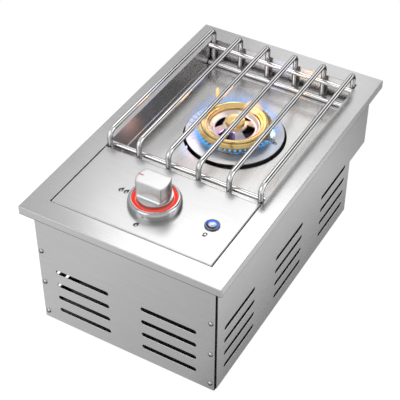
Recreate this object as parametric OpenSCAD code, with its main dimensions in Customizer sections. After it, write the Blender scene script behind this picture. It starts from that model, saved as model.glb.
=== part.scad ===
// Single side burner for an outdoor kitchen: a drop-in steel box with a flange that rests on
// the counter, a flush control panel at the front and a sunken pan with one brass burner behind it.
// Axes: X to the right, Y to the back, Z up. The origin is under the middle of the flange,
// on the surface that the base stands on. Sizes are in millimetres.

/* [Top frame] */
// Width of the counter flange
flange_w = 318; // [300:1:340]
// Depth of the counter flange, front to back
flange_d = 520; // [514:1:545]
// Height of the flange's top face above the base
flange_h = 222.5; // [215:0.5:260]
// Width of the flange face round the opening
flange_border = 31; // [29:0.5:34]
// Height of the skirt turned down round the flange
skirt_h = 14; // [10:0.5:18]
// Width of the return under the skirt, which rests on the counter
seat_w = 8; // [5:0.5:9]
// Thickness of the sheet steel
sheet_t = 1; // [0.8:0.1:1.2]

/* [Box] */
// Distance from the flange's side edge to the side panel
side_inset = 13.5; // [12.5:0.5:15]
// Distance from the flange's front edge to the front panel
front_inset = 12; // [11:0.5:20]
// Distance from the flange's rear edge to the upper rear panel
rear_inset = 12.5; // [11.5:0.5:14]
// Depth of the lower box, front to back
lower_d = 437.5; // [415:0.5:450]
// Height of the underside of the upper rear section
step_h = 103; // [90:1:115]
// Height of the turned-up edges of the base
base_edge_h = 12; // [8:1:16]
// Depth of the turned-back side edges of the front panel
front_edge_d = 13; // [9:0.5:16]
// Width of the open joint between the front panel and a side panel
corner_gap = 0.6; // [0.5:0.1:3]
// How far the front panel's edges stand out past its turned-back side edges
front_lip = 2.5; // [1:0.1:4]
// How far the front edges of the side panels sit behind the front panel's face
side_set_back = 5; // [3:0.5:7]

/* [Vent slots] */
// Length of a vent slot in the front panel
front_slot_l = 89; // [60:1:100]
// Length of a vent slot in a side panel
side_slot_l = 89; // [60:1:110]
// Height of every vent slot
slot_w = 8; // [5:0.5:10]
// Height of the lowest row of slots above the base
slot_low = 28; // [20:1:30]
// Distance from one row of slots to the next
slot_pitch = 26; // [18:0.5:27]
// Number of rows of slots
slot_rows = 4; // [2:1:4]
// Distance of each group of front slots from the middle
front_slot_x = 71; // [55:1:76]
// Distance between the groups of side slots
side_slot_pitch = 153; // [125:1:153]
// How far the side slots sit behind the middle of the lower box
side_slot_back = 4; // [0:0.5:6]

/* [Control panel] */
// Depth of the control panel, front to back
panel_d = 136; // [125:1:145]
// Open joint round the control panel
panel_gap = 1.3; // [0.8:0.1:2]
// Height of the turned-down edges of the control panel
panel_edge_h = 12; // [9:0.5:15]
// Width of the ledge that carries the panel
ledge_w = 9; // [6:0.5:10]
// Distance of the knob from the panel's front edge
knob_from_front = 67; // [60:1:72]
// Distance of the light button from the panel's right edge
button_from_side = 36.7; // [28.7:0.1:51.7]

/* [Knob] */
// Radius of the knob's skirt
knob_r = 26; // [22:0.5:27]
// Height of the knob's top above the panel
knob_top = 43; // [36:0.5:46]
// Height of the ledge below the knob's grip
knob_ledge = 17; // [14:0.5:19]
// Half width of the knob's grip
grip_half = 15; // [12:0.5:17]
// Radius of the bezel at the panel
bezel_r = 38.5; // [37.5:0.5:42]
// Height of the bezel
bezel_h = 12.5; // [10:0.5:14]
// Outer radius of the light ring round the knob
glow_r = 32.2; // [30:0.1:33]
// How far the knob goes down when it is pressed
knob_travel = 3; // [2:0.5:3.5]
// Radius of the valve stem
stem_r = 4; // [3:0.5:5]

/* [Light button] */
// Radius of the button's bezel
button_bezel_r = 11; // [10.5:0.5:13]
// Radius of the button's threaded barrel
button_barrel_r = 9.3; // [8.9:0.1:9.5]
// Radius of the button's cap
button_cap_r = 5.4; // [4.5:0.1:6]
// Width of the light ring round the cap
button_glow_w = 2.4; // [1.5:0.1:2.6]
// How far the cap goes down
button_travel = 1.5; // [1:0.1:2]

/* [Pan and grate] */
// Depth of the pan's floor below the flange's top face
pan_depth = 41; // [40:0.5:46]
// Width of the lip that joins the pan to the flange
pan_lip_w = 10; // [6:0.5:10]
// Radius of the grate's rods
rod_r = 4; // [3:0.1:4.3]
// Gap between the grate and each side wall of the pan
grate_side_gap = 1; // [1:0.5:6]
// Gap between the grate's legs and the front and rear walls of the pan
grate_end_gap = 2; // [1:0.1:6]
// Height of a rod's middle above the flange
rod_rise = 23.5; // [18:0.5:27]
// Bend radius of the rods
rod_bend = 11; // [8:0.5:14]

/* [Burner] */
// Radius of the steel plate below the flame ring
plate_r = 76; // [73:0.5:78]
// Height of the plate's top above the pan's floor
plate_rise = 6; // [5:0.5:8]
// Radius of the opening in the pan's floor
floor_hole_r = 79.5; // [76:0.5:82]
// Outer radius of the brass flame ring at its lip
ring_r = 57.5; // [56:0.5:59]
// Height of the flame ring's crest above the plate
ring_h = 21.5; // [20:0.5:24]
// Number of flame ports
port_count = 44; // [24:1:48]
// Radius of a flame port
port_r = 1.4; // [0.8:0.1:1.6]
// Radius of the brass cap in the middle
cap_r = 15; // [14:0.5:15.5]
// Height of the cap's top above the plate
cap_h = 26; // [25:0.5:28]
// Outer radius of the mixing tube
tube_r = 12.5; // [10:0.5:13]

/* [Gas and electric inlets] */
// Distance of the gas inlet to the left of the middle
inlet_x = 60; // [54:1:90]
// Height of both inlets above the base
inlet_h = 40; // [32:1:60]
// Radius of the inlet's male thread, for a 3/8 inch flare fitting
thread_r = 7.94; // [7:0.01:9]
// Length of the inlet's male thread
thread_l = 14; // [10:1:18]
// Radius of the gas supply pipe
supply_r = 5; // [4:0.5:6]
// Radius of the gas feed pipe
feed_r = 4; // [3:0.5:5]

/* [Hidden] */
$fn = 48;
eps = 0.5;

// Clearances
run_fit = 0.06;
slip_fit = 0.3;
weld_gap = 0.5;
thread_fit = 0.05;

// Box and frame
half_w = flange_w / 2;
half_d = flange_d / 2;
flange_under = flange_h - sheet_t;
body_half = half_w - side_inset;
body_in = body_half - sheet_t;
body_front = front_inset - half_d;
lower_back = body_front + lower_d;
upper_back = half_d - rear_inset;
open_half = half_w - flange_border;
open_front = flange_border - half_d;
open_back = half_d - flange_border;
pan_lip_half = open_half + sheet_t + pan_lip_w;
return_gap = 1.5;
side_return_w = body_in - pan_lip_half - return_gap;
seam_w = 0.8;

// Front panel and its posts
front_half = body_in - corner_gap;
front_return = front_half - front_lip;
side_front = body_front + side_set_back;
post_t = 1.5;
post_w = 16;
post_side_w = 14;
post_y = body_front + front_edge_d;
post_low = sheet_t;
post_drop = 22;
post_high = flange_h - post_drop;
screw_room = 6;
screw_low = 12.5;
screw_pitch = 62;
screw_rows = 3;
screw_r = 1.95;
screw_hole_r = 2.25;
screw_x = front_return - sheet_t - screw_hole_r - slip_fit;
screw_head_r = 4;
screw_head_h = 2.6;
screw_tip = 3.5;

// Control panel
panel_half = open_half - panel_gap;
panel_front = open_front + panel_gap;
panel_back = panel_front + panel_d;
ledge_z = flange_h - panel_edge_h;
rail_leg_h = 16;
knob_y = panel_front + knob_from_front;
button_x = panel_half - button_from_side;
knob_hole_r = 11;
bezel_screw_r = 1.45;
bezel_screw_x = bezel_r - 3;
bezel_screw_l = 7;

// Knob, bezel and light ring, measured from the panel's top face
bezel_base = 1.6;
board_t = 1.6;
glow_top = bezel_h - 3;
glow_in = knob_r + 0.8;
bezel_in = glow_r + 0.2;
bezel_rim = 1.4;
skirt_low = bezel_base + knob_travel + 0.4;
scoop_r = 5;
grip_back = knob_r - 4;
grip_back_r = 34;
pointer_w = 2;
pointer_out = knob_r - 1.6;
pointer_in = knob_r - 9;
stem_sink = 13;
stem_top = knob_top - stem_sink;
stem_flat = 0.8;

// Gas valve, measured from the flange's top face
valve_top = 30;
valve_r = 15;
valve_h = 36;
neck_r = 9;
neck_h = 16.5;
stem_low = valve_top + 1;
bore_low = stem_low + knob_travel + 1;
collar_r = 7;
collar_h = 3;
collar_low = valve_top - neck_h - 1.5 - knob_travel;
ear_x = 18;
ear_l = 23;
ear_w = 14;
ear_h = 6;
bracket_t = 1.5;
bracket_half = 40;
bracket_w = 36;
bracket_foot = 12;
outlet_drop = 50;
outlet_z = flange_h - outlet_drop;
outlet_l = 24;
outlet_r = 7;
supply_drop = 56;
supply_z = flange_h - supply_drop;
supply_l = 26;
supply_boss_r = 8;

// Light button
button_flange_h = 2.2;
button_barrel_l = 20;
button_nut_h = 3.5;
button_nut_r = 13.5;
button_low = 14;

// Pan and grate
rod_count = 6;
pan_front = panel_back + weld_gap + sheet_t;
floor_z = flange_h - pan_depth;
floor_under = floor_z - sheet_t;
burner_y = (pan_front + open_back) / 2;
leg_front = pan_front + grate_end_gap + rod_r;
leg_back = open_back - grate_end_gap - rod_r;
rod_z = flange_h + rod_rise;
top_rail_z = flange_h - rod_r;
low_rail_z = floor_z + rod_r + slip_fit;
rail_in = 2 * rod_r;
rail_half = open_half - grate_side_gap;
rod_pitch = 2 * (rail_half - rod_r) / (rod_count - 1);

// Burner
plate_z = floor_z + plate_rise;
plate_t = 1.2;
plate_edge = 1.6;
body_r = 50;
body_in_r = 46.8;
body_rim_z = plate_z + 1;
body_sink = 21;
body_low_z = plate_z - body_sink;
body_floor_t = 3;
body_flange_r = 56;
body_flange_t = 3;
air_wall_r = 39.3;
air_wall_out = 42;
post_r = 13;
post_bore_r = 10;
post_rise = 15;
post_top_z = plate_z + post_rise;
tunnel_r = 4.5;
tunnel_bore_r = 3;
tunnel_rise = 9;
tunnel_z = body_low_z + tunnel_rise;
body_screw_y = 28;
body_boss_r = 6;
body_boss_h = 8;
ring_wall_r = 51.5;
port_rise = 6.5;
ring_port_z = body_rim_z + port_rise;
lip_rise = 11;
ring_lip_z = body_rim_z + lip_rise;
crest_r = ring_r - 10;
cup_t = 1.2;
cup_rim_r = 38.6;
cup_rim_rise = 14;
cup_rim_z = plate_z + cup_rim_rise;
cup_low_r = 33;
cup_low_rise = 7.5;
cup_low_z = plate_z + cup_low_rise;
window_in = 18;
window_out = 31.5;
window_angle = 62;
window_sink = 2;
cap_base_z = post_top_z + cup_t;
cap_spigot_r = post_bore_r - slip_fit;
cap_spigot_l = 7;
cap_port_r = 0.9;
cap_port_count = 16;

// Cradle and mixing tube
cradle_w = 30;
cradle_t = 2;
cradle_half = floor_hole_r + 9;
cradle_foot = 14;
tube_wall = 1;
tube_bend = 24;
tube_drop = 28;
tube_z = body_low_z - tube_drop;
shutter_gap = 0.3;
shutter_wall = 1;
shutter_l = 22;
shutter_front = 3;
shutter_window = 50;

// Gas jet and feed pipe
jet_nose_r = 4;
jet_nose_l = 6;
jet_hex_r = 8;
jet_hex_l = 12;
jet_bore_r = 0.6;
jet_in_shutter = 3;
feed_bend = 9;
pipe_wall = 1;
nut_r = 9.5;
nut_l = 12;
pipe_grip = 7;
feed_end = 9.5;
outlet_y = knob_y + outlet_l;
feed_drop_y = outlet_y + nut_l + pipe_grip + feed_bend;
jet_y = feed_drop_y + feed_bend + feed_end + jet_hex_l;
tube_mouth_y = jet_y + jet_nose_l - jet_in_shutter + shutter_front;

// Inlets
supply_bend = 14;
bulkhead_r = 7.5;
shoulder_r = 12;
shoulder_l = 6;
bulkhead_l = 16;
lock_nut_l = 5;
jack_r = 5.5;
jack_flange_r = 7;
jack_flange_t = 1.5;
jack_l = 12;
jack_bore_r = 2.75;
jack_bore_l = 9;
jack_pin_r = 1;

// Igniter
piezo_r = 7;
piezo_h = 40;
piezo_y = knob_y - valve_r - piezo_r;
piezo_low = flange_h - valve_top - 1 - piezo_h;
electrode_at = ring_r + 3;
electrode_angle = 12;
ceramic_r = 3;
ceramic_top = plate_z + 5;
ceramic_sink = 26;
ceramic_low = plate_z - ceramic_sink;
tip_r = 0.8;
tip_h = 6;
electrode_screw_at = electrode_at + 5;
electrode_screw_angle = 5.5;
tab_at = electrode_at + 3;
tab_angle = 9;
tab_l = 13;
tab_w = 22;
lead_r = 1.6;
lead_bend = 10;
lead_drop = 12;
lead_z = piezo_low - lead_drop;
light_lead_r = 1.8;
lead_set_back = 20;
electrode_x = electrode_at * cos(electrode_angle);
electrode_y = burner_y + electrode_at * sin(electrode_angle);

// A box between its lowest and its highest corner
module block(low, high) {
    translate(low) cube(high - low);
}

// A round bar from one point to another
module bar(from, to, r) {
    along = to - from;
    reach = norm(along);
    tilt = acos(along[2] / reach);
    turn = atan2(along[1], along[0]);
    translate(from) rotate([0, tilt, turn]) cylinder(r = r, h = reach);
}

// Unit vector along a step
function unit(v) = v / norm(v);

// The stretch of a route that a bend takes from each side of its corner
function bend_reach(route, i, bend) =
    i == 0 || i == len(route) - 1 ? 0 :
    bend * tan(acos(unit(route[i] - route[i - 1]) * unit(route[i + 1] - route[i])) / 2);

// A quarter, or any part, of a ring that joins two straight stretches at a corner
module elbow(before, corner, after, bend, r) {
    into = unit(corner - before);
    out = unit(after - corner);
    angle = acos(into * out);
    side = unit(out - (into * out) * into);
    start = corner - bend * tan(angle / 2) * into;
    centre = start + bend * side;
    up = cross(-side, into);
    frame = [[-side[0], into[0], up[0], centre[0]],
        [-side[1], into[1], up[1], centre[1]],
        [-side[2], into[2], up[2], centre[2]],
        [0, 0, 0, 1]];
    multmatrix(frame) rotate_extrude(angle = angle) translate([bend, 0]) circle(r = r);
}

// A round rod bent along a route
module bent_rod(route, r, bend) {
    for (i = [0 : len(route) - 2]) {
        way = unit(route[i + 1] - route[i]);
        bar(route[i] + bend_reach(route, i, bend) * way,
            route[i + 1] - bend_reach(route, i + 1, bend) * way, r);
    }
    for (i = [1 : len(route) - 2]) {
        elbow(route[i - 1], route[i], route[i + 1], bend, r);
    }
}

// A pipe bent along a route, open at both ends
module bent_pipe(route, r, wall, bend) {
    last = len(route) - 1;
    head = route[0] - eps * unit(route[1] - route[0]);
    tail = route[last] + eps * unit(route[last] - route[last - 1]);
    bore = [for (i = [0 : last]) i == 0 ? head : i == last ? tail : route[i]];
    difference() {
        bent_rod(route, r, bend);
        bent_rod(bore, r - wall, bend);
    }
}

// A ring or a disc with a hole, standing on its low face
module ring(outer, inner, low, high) {
    translate([0, 0, low]) difference() {
        cylinder(r = outer, h = high - low);
        translate([0, 0, -eps]) cylinder(r = inner, h = high - low + 2 * eps);
    }
}

// A slot with round ends along X, cut through in Z
module slot(l, w, depth) {
    translate([w / 2 - l / 2, -w / 2, 0]) cube([l - w, w, depth]);
    for (side = [-1, 1]) {
        translate([side * (l - w) / 2, 0, 0]) cylinder(r = w / 2, h = depth, $fn = 32);
    }
}

// A pan head screw pointing down, with its head standing on z = 0
module screw(head_r, head_h, r, l) {
    dome_r = (head_r * head_r + head_h * head_h) / (2 * head_h);
    difference() {
        intersection() {
            cylinder(r = head_r, h = head_h);
            translate([0, 0, head_h - dome_r]) sphere(r = dome_r);
        }
        for (a = [0, 90]) {
            rotate([0, 0, a]) translate([-head_r * 0.45, -head_r * 0.12, head_h * 0.45])
                cube([head_r * 0.9, head_r * 0.24, head_h]);
        }
    }
    translate([0, 0, -l]) cylinder(r = r, h = l);
}

// A six-sided nut or collar, with a bore
module hex(r, bore, h) {
    difference() {
        cylinder(r = r, h = h, $fn = 6);
        translate([0, 0, -eps]) cylinder(r = bore, h = h + 2 * eps);
    }
}

// The rows of front slots, or of one group of side slots, in their own plane
module slot_rows_at(x, l, depth) {
    for (row = [0 : slot_rows - 1]) {
        translate([x, slot_low + row * slot_pitch, 0]) slot(l, slot_w, depth);
    }
}

module top_frame() {
    color("gainsboro") {
        difference() {
            block([-half_w, -half_d, flange_h - skirt_h], [half_w, half_d, flange_h]);
            block([sheet_t - half_w, sheet_t - half_d, flange_h - skirt_h - eps],
                [half_w - sheet_t, half_d - sheet_t, flange_under]);
            block([-open_half, open_front, flange_under - eps], [open_half, open_back, flange_h + eps]);
            for (x = [-1, 1], y = [-1, 1]) {
                translate([x * (half_w - sheet_t / 2), y * (half_d - 2 * sheet_t), 0])
                    block([-sheet_t, -seam_w / 2, flange_h - skirt_h - eps],
                        [sheet_t, seam_w / 2, flange_h - 2 * sheet_t]);
            }
        }
        difference() {
            block([sheet_t - half_w, sheet_t - half_d, flange_h - skirt_h],
                [half_w - sheet_t, half_d - sheet_t, flange_h - skirt_h + sheet_t]);
            block([sheet_t + seat_w - half_w, sheet_t + seat_w - half_d, flange_h - skirt_h - eps],
                [half_w - sheet_t - seat_w, half_d - sheet_t - seat_w, flange_h]);
        }
        difference() {
            block([-open_half - sheet_t, open_front - sheet_t, ledge_z - sheet_t],
                [open_half + sheet_t, pan_front - sheet_t, flange_under]);
            block([-open_half, open_front, ledge_z], [open_half, pan_front, flange_h]);
            block([ledge_w - open_half, open_front + ledge_w, ledge_z - sheet_t - eps],
                [open_half - ledge_w, pan_front, flange_h]);
        }
    }
}

module control_panel() {
    color("whitesmoke") difference() {
        block([-panel_half, panel_front, ledge_z], [panel_half, panel_back, flange_h]);
        block([sheet_t - panel_half, panel_front + sheet_t, ledge_z - eps],
            [panel_half - sheet_t, panel_back - sheet_t, flange_under]);
        translate([0, knob_y, flange_under - eps]) cylinder(r = knob_hole_r, h = sheet_t + 2 * eps);
        translate([button_x, knob_y, flange_under - eps])
            cylinder(r = button_barrel_r + slip_fit, h = sheet_t + 2 * eps);
        bezel_screw_places() translate([0, 0, flange_under - eps])
            cylinder(r = bezel_screw_r + slip_fit, h = sheet_t + 2 * eps);
    }
}

module panel_rear_rail() {
    rail_half_w = open_half - ledge_w - slip_fit;
    rail_back = pan_front - sheet_t;
    color("silver") {
        block([-rail_half_w, rail_back - ledge_w, ledge_z - sheet_t], [rail_half_w, rail_back, ledge_z]);
        block([-rail_half_w, rail_back - sheet_t, ledge_z - rail_leg_h],
            [rail_half_w, rail_back, ledge_z - sheet_t]);
    }
}

module burner_pan() {
    color("silver") difference() {
        union() {
            block([-open_half - sheet_t, pan_front - sheet_t, floor_under],
                [open_half + sheet_t, open_back + sheet_t, flange_under]);
            block([-pan_lip_half, pan_front - sheet_t, flange_under - sheet_t],
                [pan_lip_half, open_back + sheet_t + pan_lip_w, flange_under]);
        }
        block([-open_half, pan_front, floor_z], [open_half, open_back, flange_h]);
        translate([0, burner_y, floor_under - eps]) cylinder(r = floor_hole_r, h = sheet_t + 2 * eps);
    }
}

module front_panel() {
    color("darkgray") difference() {
        union() {
            block([-front_half, body_front, 0], [front_half, body_front + sheet_t, flange_under]);
            block([-front_return, body_front, 0], [front_return, body_front + front_edge_d, flange_under]);
        }
        block([sheet_t - front_return, body_front + sheet_t, -eps],
            [front_return - sheet_t, body_front + front_edge_d + eps, flange_h]);
        for (side = [-1, 1]) {
            block([side * front_return - 2 * sheet_t, body_front + sheet_t, -eps],
                [side * front_return + 2 * sheet_t, body_front + front_edge_d + eps, sheet_t]);
        }
        for (side = [-1, 1]) {
            translate([0, body_front + sheet_t + eps, 0]) rotate([90, 0, 0])
                slot_rows_at(side * front_slot_x, front_slot_l, sheet_t + 2 * eps);
        }
        front_screw_places() translate([0, 0, -sheet_t - eps])
            cylinder(r = screw_hole_r, h = sheet_t + 2 * eps);
    }
}

// The places of the front screws, with Z pointing out of the front panel
module front_screw_places() {
    for (side = [-1, 1], row = [0 : screw_rows - 1]) {
        translate([side * screw_x, body_front, screw_low + row * screw_pitch]) rotate([90, 0, 0])
            children();
    }
}

module front_panel_screws() {
    color("gainsboro") front_screw_places()
        screw(screw_head_r, screw_head_h, screw_r, front_edge_d + post_t + screw_tip);
}

// One side panel, with its outer face on the side that side gives
module side_panel(side) {
    outline = [[side_front, 0], [lower_back, 0], [lower_back, step_h], [upper_back, step_h],
        [upper_back, flange_under], [side_front, flange_under]];
    slot_mid = (body_front + lower_back) / 2 + side_slot_back;
    low_x = side > 0 ? body_in : -body_half;
    color("darkgray") {
        difference() {
            translate([low_x, 0, 0]) rotate([90, 0, 90]) linear_extrude(sheet_t) polygon(outline);
            for (group = [-1 : 1]) {
                translate([low_x - eps, 0, 0]) rotate([90, 0, 90])
                    slot_rows_at(slot_mid + group * side_slot_pitch, side_slot_l, sheet_t + 2 * eps);
            }
        }
        block([side > 0 ? body_in - side_return_w : -body_in, post_y, flange_under - sheet_t],
            [side > 0 ? body_in : side_return_w - body_in, upper_back - sheet_t, flange_under]);
    }
}

module left_side_panel() {
    side_panel(-1);
}

module right_side_panel() {
    side_panel(1);
}

// The angle inside a front corner that takes the front panel's screws
module corner_post(side) {
    color("silver") mirror([side > 0 ? 0 : 1, 0, 0]) difference() {
        union() {
            block([body_in - post_w, post_y, post_low], [body_in, post_y + post_t, post_high]);
            block([body_in - post_t, post_y, post_low], [body_in, post_y + post_side_w, post_high]);
        }
        for (row = [0 : screw_rows - 1]) {
            translate([screw_x, post_y + post_t + eps, screw_low + row * screw_pitch]) rotate([90, 0, 0])
                cylinder(r = screw_r + thread_fit, h = post_t + 2 * eps);
        }
    }
}

module left_corner_post() {
    corner_post(-1);
}

module right_corner_post() {
    corner_post(1);
}

module rear_panel() {
    color("darkgray") difference() {
        union() {
            block([-body_in, lower_back - sheet_t, 0], [body_in, lower_back, step_h + sheet_t]);
            block([-body_in, lower_back - sheet_t, step_h], [body_in, upper_back, step_h + sheet_t]);
            block([-body_in, upper_back - sheet_t, step_h], [body_in, upper_back, flange_under]);
        }
        translate([-inlet_x, lower_back + eps, inlet_h]) rotate([90, 0, 0])
            cylinder(r = bulkhead_r + slip_fit, h = sheet_t + 2 * eps);
        translate([button_x, lower_back + eps, inlet_h]) rotate([90, 0, 0])
            cylinder(r = jack_r + slip_fit, h = sheet_t + 2 * eps);
    }
}

module base_panel() {
    low_y = body_front + sheet_t;
    high_y = lower_back - sheet_t;
    front_edge_half = screw_x - screw_room;
    side_edge_y = post_y + post_side_w + weld_gap;
    color("darkgray") {
        block([-body_in, low_y, 0], [body_in, high_y, sheet_t]);
        block([-body_in, side_edge_y, 0], [sheet_t - body_in, high_y, base_edge_h]);
        block([body_in - sheet_t, side_edge_y, 0], [body_in, high_y, base_edge_h]);
        block([-front_edge_half, low_y, 0], [front_edge_half, low_y + sheet_t, base_edge_h]);
        block([-body_in, high_y - sheet_t, 0], [body_in, high_y, base_edge_h]);
    }
}

// The strip under the pan's floor that carries the burner
module burner_cradle() {
    color("silver") translate([0, burner_y, 0]) difference() {
        union() {
            block([-cradle_w / 2, -cradle_half, body_low_z - cradle_t],
                [cradle_w / 2, cradle_half, body_low_z]);
            for (side = [0, 180]) {
                rotate([0, 0, side]) {
                    block([-cradle_w / 2, cradle_half - cradle_t, body_low_z - cradle_t],
                        [cradle_w / 2, cradle_half, floor_under]);
                    block([-cradle_w / 2, cradle_half - cradle_t, floor_under - cradle_t],
                        [cradle_w / 2, cradle_half + cradle_foot, floor_under]);
                }
            }
        }
        translate([0, 0, body_low_z - cradle_t - eps])
            cylinder(r = tube_r + weld_gap, h = cradle_t + 2 * eps);
        for (side = [-1, 1]) {
            translate([0, side * body_screw_y, body_low_z - cradle_t - eps])
                cylinder(r = screw_hole_r, h = cradle_t + 2 * eps);
        }
    }
}

// The cast head: an outer and an inner wall, a hollow post, and tunnels that join them
module burner_body() {
    color("dimgray") translate([0, burner_y, 0]) difference() {
        union() {
            ring(body_r, body_in_r, body_low_z, body_rim_z);
            ring(air_wall_out, air_wall_r, body_low_z, body_rim_z);
            ring(post_r, post_bore_r, body_low_z, post_top_z);
            ring(body_r, tube_r - tube_wall, body_low_z, body_low_z + body_floor_t);
            ring(body_flange_r, body_in_r, plate_z - plate_t - body_flange_t, plate_z - plate_t);
            for (side = [-1, 1]) {
                translate([0, side * body_screw_y, body_low_z]) cylinder(r = body_boss_r, h = body_boss_h);
            }
            for (a = [45 : 90 : 315]) {
                rotate([0, 0, a]) translate([0, 0, tunnel_z]) rotate([0, 90, 0])
                    translate([0, 0, post_r - 1]) cylinder(r = tunnel_r, h = air_wall_r - post_r + 2);
            }
        }
        for (a = [45 : 90 : 315]) {
            rotate([0, 0, a]) translate([0, 0, tunnel_z]) rotate([0, 90, 0])
                translate([0, 0, post_r - 4]) cylinder(r = tunnel_bore_r, h = air_wall_out - post_r + 6);
        }
        for (side = [-1, 1]) {
            translate([0, side * body_screw_y, body_low_z - eps])
                cylinder(r = screw_r + thread_fit, h = body_boss_h - 1);
        }
    }
}

module burner_screws() {
    color("gainsboro") for (side = [-1, 1]) {
        translate([0, burner_y + side * body_screw_y, body_low_z - cradle_t]) mirror([0, 0, 1])
            screw(screw_head_r, screw_head_h, screw_r, cradle_t + body_boss_h - 3);
    }
}

module burner_plate() {
    color("whitesmoke") difference() {
        translate([0, burner_y, 0]) union() {
            ring(plate_r, body_r + slip_fit, plate_z - plate_t, plate_z);
            ring(plate_r, plate_r - plate_t, plate_z - plate_edge, plate_z);
        }
        translate([electrode_x, electrode_y, plate_z - plate_t - eps])
            cylinder(r = ceramic_r + slip_fit, h = plate_t + 2 * eps, $fn = 24);
        electrode_screw_place() translate([0, 0, -plate_t - eps])
            cylinder(r = screw_hole_r, h = plate_t + 2 * eps, $fn = 24);
    }
}

// The brass ring that the flames leave: a channel with a row of ports under an overhanging lip
module flame_ring() {
    crest = ring_h + plate_z;
    profile = [[air_wall_r, body_rim_z], [air_wall_out, body_rim_z], [air_wall_out, ring_lip_z],
        [body_in_r + 0.2, ring_lip_z], [body_in_r + 0.2, body_rim_z], [ring_wall_r, body_rim_z],
        [ring_wall_r, ring_lip_z], [ring_r, ring_lip_z + 0.6], [ring_r, ring_lip_z + 2.6],
        [ring_r - 1.2, ring_lip_z + 4], [crest_r + 2, crest - 0.8], [crest_r, crest],
        [crest_r - 2, crest - 0.2], [crest_r - 3.4, crest - 1.4], [air_wall_r + 1.4, crest - 4.2],
        [air_wall_r, crest - 6]];
    color("goldenrod") translate([0, burner_y, 0]) difference() {
        rotate_extrude($fn = 96) polygon(profile);
        for (i = [0 : port_count - 1]) {
            rotate([0, 0, (i + 0.5) * 360 / port_count]) translate([body_in_r - 1, 0, ring_port_z])
                rotate([0, 90, 0]) cylinder(r = port_r, h = ring_wall_r - body_in_r + 2, $fn = 16);
        }
    }
}

// The steel cup inside the flame ring, a dished cone with four windows
module inner_cup() {
    profile = [[cap_spigot_r, post_top_z], [cap_r, post_top_z], [cup_low_r - 2, cup_low_z],
        [cup_low_r + 0.6, cup_low_z], [cup_rim_r - 2, cup_rim_z - cup_t], [cup_rim_r, cup_rim_z - cup_t],
        [cup_rim_r, cup_rim_z], [cup_rim_r - 2.6, cup_rim_z], [cup_low_r, cup_low_z + cup_t],
        [cup_low_r - 2, cup_low_z + cup_t], [cap_r, cap_base_z], [cap_spigot_r, cap_base_z]];
    color("silver") translate([0, burner_y, 0]) difference() {
        rotate_extrude() polygon(profile);
        for (a = [0 : 90 : 270]) {
            rotate([0, 0, a - window_angle / 2]) rotate_extrude(angle = window_angle)
                translate([window_in, cup_low_z - window_sink])
                square([window_out - window_in, cap_base_z - cup_low_z + window_sink]);
        }
    }
}

module centre_cap() {
    cap_top = plate_z + cap_h;
    color("gold") translate([0, burner_y, 0]) difference() {
        rotate_extrude() polygon([[0, cap_base_z - cap_spigot_l],
            [cap_spigot_r - 0.2, cap_base_z - cap_spigot_l], [cap_spigot_r - 0.2, cap_base_z],
            [cap_r, cap_base_z], [cap_r, cap_top - 2.4], [cap_r - 1.6, cap_top - 0.4],
            [cap_r - 4, cap_top], [0, cap_top]]);
        for (i = [0 : cap_port_count - 1]) {
            rotate([0, 0, i * 360 / cap_port_count]) translate([cap_r - 3, 0, cap_base_z + 4.5])
                rotate([0, 90, 0]) cylinder(r = cap_port_r, h = 5, $fn = 16);
        }
        translate([0, 0, cap_base_z - cap_spigot_l - eps]) cylinder(r = cap_spigot_r - 2.4, h = cap_spigot_l);
    }
}

module mixing_tube() {
    color("silver") bent_pipe([[0, tube_mouth_y, tube_z], [0, burner_y, tube_z],
        [0, burner_y, body_low_z]], tube_r, tube_wall, tube_bend);
}

// The sleeve that turns on the tube's mouth and sets how much air goes in
module air_shutter() {
    inner = tube_r + shutter_gap;
    low_y = tube_mouth_y - shutter_front;
    color("silver") translate([0, low_y, tube_z]) rotate([-90, 0, 0]) difference() {
        union() {
            ring(inner + shutter_wall, inner, 0, shutter_l);
            ring(inner + shutter_wall, jet_nose_r + slip_fit, 0, shutter_wall);
        }
        for (a = [0 : 120 : 240]) {
            rotate([0, 0, a - shutter_window / 2]) translate([0, 0, -eps])
                rotate_extrude(angle = shutter_window)
                translate([jet_nose_r + 2, 0]) square([inner - jet_nose_r - 3, shutter_wall + 2 * eps]);
        }
    }
}

module gas_jet() {
    color("goldenrod") translate([0, jet_y, tube_z]) rotate([-90, 0, 0]) difference() {
        union() {
            cylinder(r = jet_nose_r, h = jet_nose_l);
            translate([0, 0, -jet_hex_l]) cylinder(r = jet_hex_r, h = jet_hex_l, $fn = 6);
        }
        translate([0, 0, -jet_hex_l - eps]) cylinder(r = feed_r - pipe_wall, h = jet_hex_l - 2);
        translate([0, 0, -3]) cylinder(r = jet_bore_r, h = jet_nose_l + 4);
    }
}

module gas_feed_pipe() {
    color("silver") bent_pipe([[0, outlet_y, outlet_z], [0, feed_drop_y, outlet_z],
        [0, feed_drop_y, tube_z], [0, jet_y - jet_hex_l, tube_z]], feed_r, pipe_wall, feed_bend);
}

module gas_inlet_pipe() {
    color("silver") bent_pipe([[-supply_l, knob_y, supply_z], [-inlet_x, knob_y, supply_z],
        [-inlet_x, knob_y, inlet_h], [-inlet_x, lower_back - sheet_t - bulkhead_l, inlet_h]],
        supply_r, pipe_wall, supply_bend);
}

// The union nuts that hold the two pipes to the valve
module pipe_nuts() {
    color("goldenrod") {
        translate([0, outlet_y, outlet_z]) rotate([-90, 0, 0]) hex(nut_r, feed_r, nut_l);
        translate([-supply_l, knob_y, supply_z]) rotate([0, -90, 0]) hex(nut_r, supply_r, nut_l);
    }
}

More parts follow.
